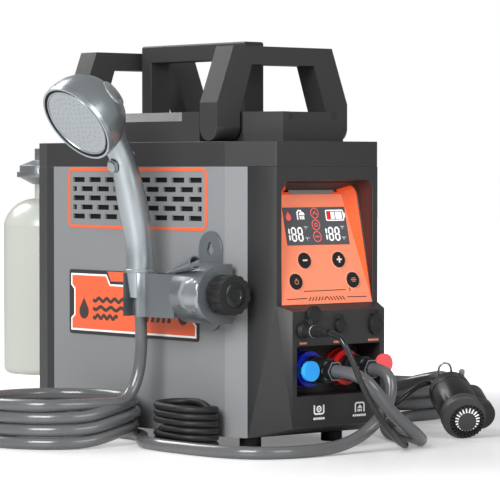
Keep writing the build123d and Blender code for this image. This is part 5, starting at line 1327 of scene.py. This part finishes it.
NODE_FINISHES = {
    "shell": ("base_pan", "front_frame", "rear_frame", "badge_plate"),
    "rubber": ("feet", "supply_plug", "pump_plug", "pump_socket_cap", "usb_cap", "dc_cap", "holder_knob"),
    "panel": ("left_panel", "right_panel"),
    "cap": ("top_cap", "deck"),
    "grip": ("carry_handle", "front_bail", "rear_bail"),
    "tray": ("control_bezel",),
    "sheet": ("control_overlay",),
    "window": ("display_window",),
    "board": ("control_board",),
    "copper": ("heat_exchanger", "water_pipes"),
    "steel": ("burner_box", "burner", "pivot_bolt"),
    "brass": ("gas_valve",),
    "battery": ("battery_pack",),
    "ring_cold": ("inlet_ring",),
    "ring_hot": ("outlet_ring",),
    "cap_cold": ("inlet_cap",),
    "cap_hot": ("outlet_cap",),
    "black": ("inlet_coupler", "outlet_coupler"),
    "gloss_black": ("sockets", "button_minus", "button_plus", "button_power", "button_mode"),
    "holder": ("holder_bracket", "holder_arm"),
    "handset": ("handset_shell", "handset_nut"),
    "handset_light": ("handset_face", "handset_button"),
    "regulator": ("regulator_arm", "regulator_body", "regulator_knob"),
    "enamel": ("gas_cylinder",),
    "pump": ("pump_body",),
    "strainer": ("pump_strainer",),
}
ROUNDED_NODES = {
    EDGE: ("front_frame", "rear_frame", "top_cap", "deck", "carry_handle", "front_bail", "rear_bail"),
    0.8: ("pump_body", "feet"),
    0.7: ("inlet_coupler", "outlet_coupler", "inlet_cap", "outlet_cap"),
    0.6: ("inlet_ring", "outlet_ring", "holder_arm", "regulator_body", "regulator_arm"),
    0.5: ("holder_bracket", "holder_knob", "pump_strainer", "regulator_knob"),
}
WELD_REACH = 0.01


class HEATER_OT_cabinet(bpy.types.Operator):
    """Finishes of the solid parts, with a small rounding on the moulded edges"""
    bl_idname = "heater.cabinet"
    bl_label = "Solid parts"

    def execute(self, context):
        finishes = heater_finishes()
        for key, nodes in NODE_FINISHES.items():
            for node in nodes:
                self.paint(NODES[node].data, finishes[key])
        share = context.scene.heater_sizes.edge / MM / EDGE
        for width, nodes in ROUNDED_NODES.items():
            for node in nodes:
                weld = NODES[node].modifiers.new("weld", "WELD")
                weld.merge_threshold = WELD_REACH * MM
                round_edges(NODES[node], width * share)
        return {"FINISHED"}

    def paint(self, mesh, material):
        if not mesh.materials:
            mesh.materials.append(material)
        for index in range(len(mesh.materials)):
            mesh.materials[index] = material


PIECES = (HEATER_OT_stage, HEATER_OT_shower_hose, HEATER_OT_inlet_hose, HEATER_OT_pump_cable,
          HEATER_OT_supply_lead, HEATER_OT_cabinet, HEATER_OT_vent_trims, HEATER_OT_badge_print,
          HEATER_OT_control_print, HEATER_OT_display, HEATER_OT_key_marks, HEATER_OT_console_print,
          HEATER_OT_plug_details, HEATER_OT_handset_details, HEATER_OT_holder_details,
          HEATER_OT_pump_details)
GROUPS = {"heater_colours": HeaterColours, "heater_sizes": HeaterSizes, "heater_stage": HeaterStage}


class HEATER_PT_sidebar(bpy.types.Panel):
    bl_label = "Portable Water Heater"
    bl_space_type = "VIEW_3D"
    bl_region_type = "UI"
    bl_category = "Heater"

    def draw(self, context):
        for name, group in GROUPS.items():
            box = self.layout.box()
            for key in group.__annotations__:
                box.prop(getattr(context.scene, name), key)
        for piece in PIECES:
            self.layout.operator(piece.bl_idname)


def register():
    for group in GROUPS.values():
        bpy.utils.register_class(group)
    for piece in PIECES:
        bpy.utils.register_class(piece)
    bpy.utils.register_class(HEATER_PT_sidebar)
    for name, group in GROUPS.items():
        setattr(bpy.types.Scene, name, bpy.props.PointerProperty(type=group))


def unregister():
    for name in GROUPS:
        delattr(bpy.types.Scene, name)
    bpy.utils.unregister_class(HEATER_PT_sidebar)
    for piece in reversed(PIECES):
        bpy.utils.unregister_class(piece)
    for group in reversed(list(GROUPS.values())):
        bpy.utils.unregister_class(group)


def main():
    register()
    for piece in PIECES:
        group, name = piece.bl_idname.split(".")
        getattr(getattr(bpy.ops, group), name)()


if __name__ == "__main__":
    main()
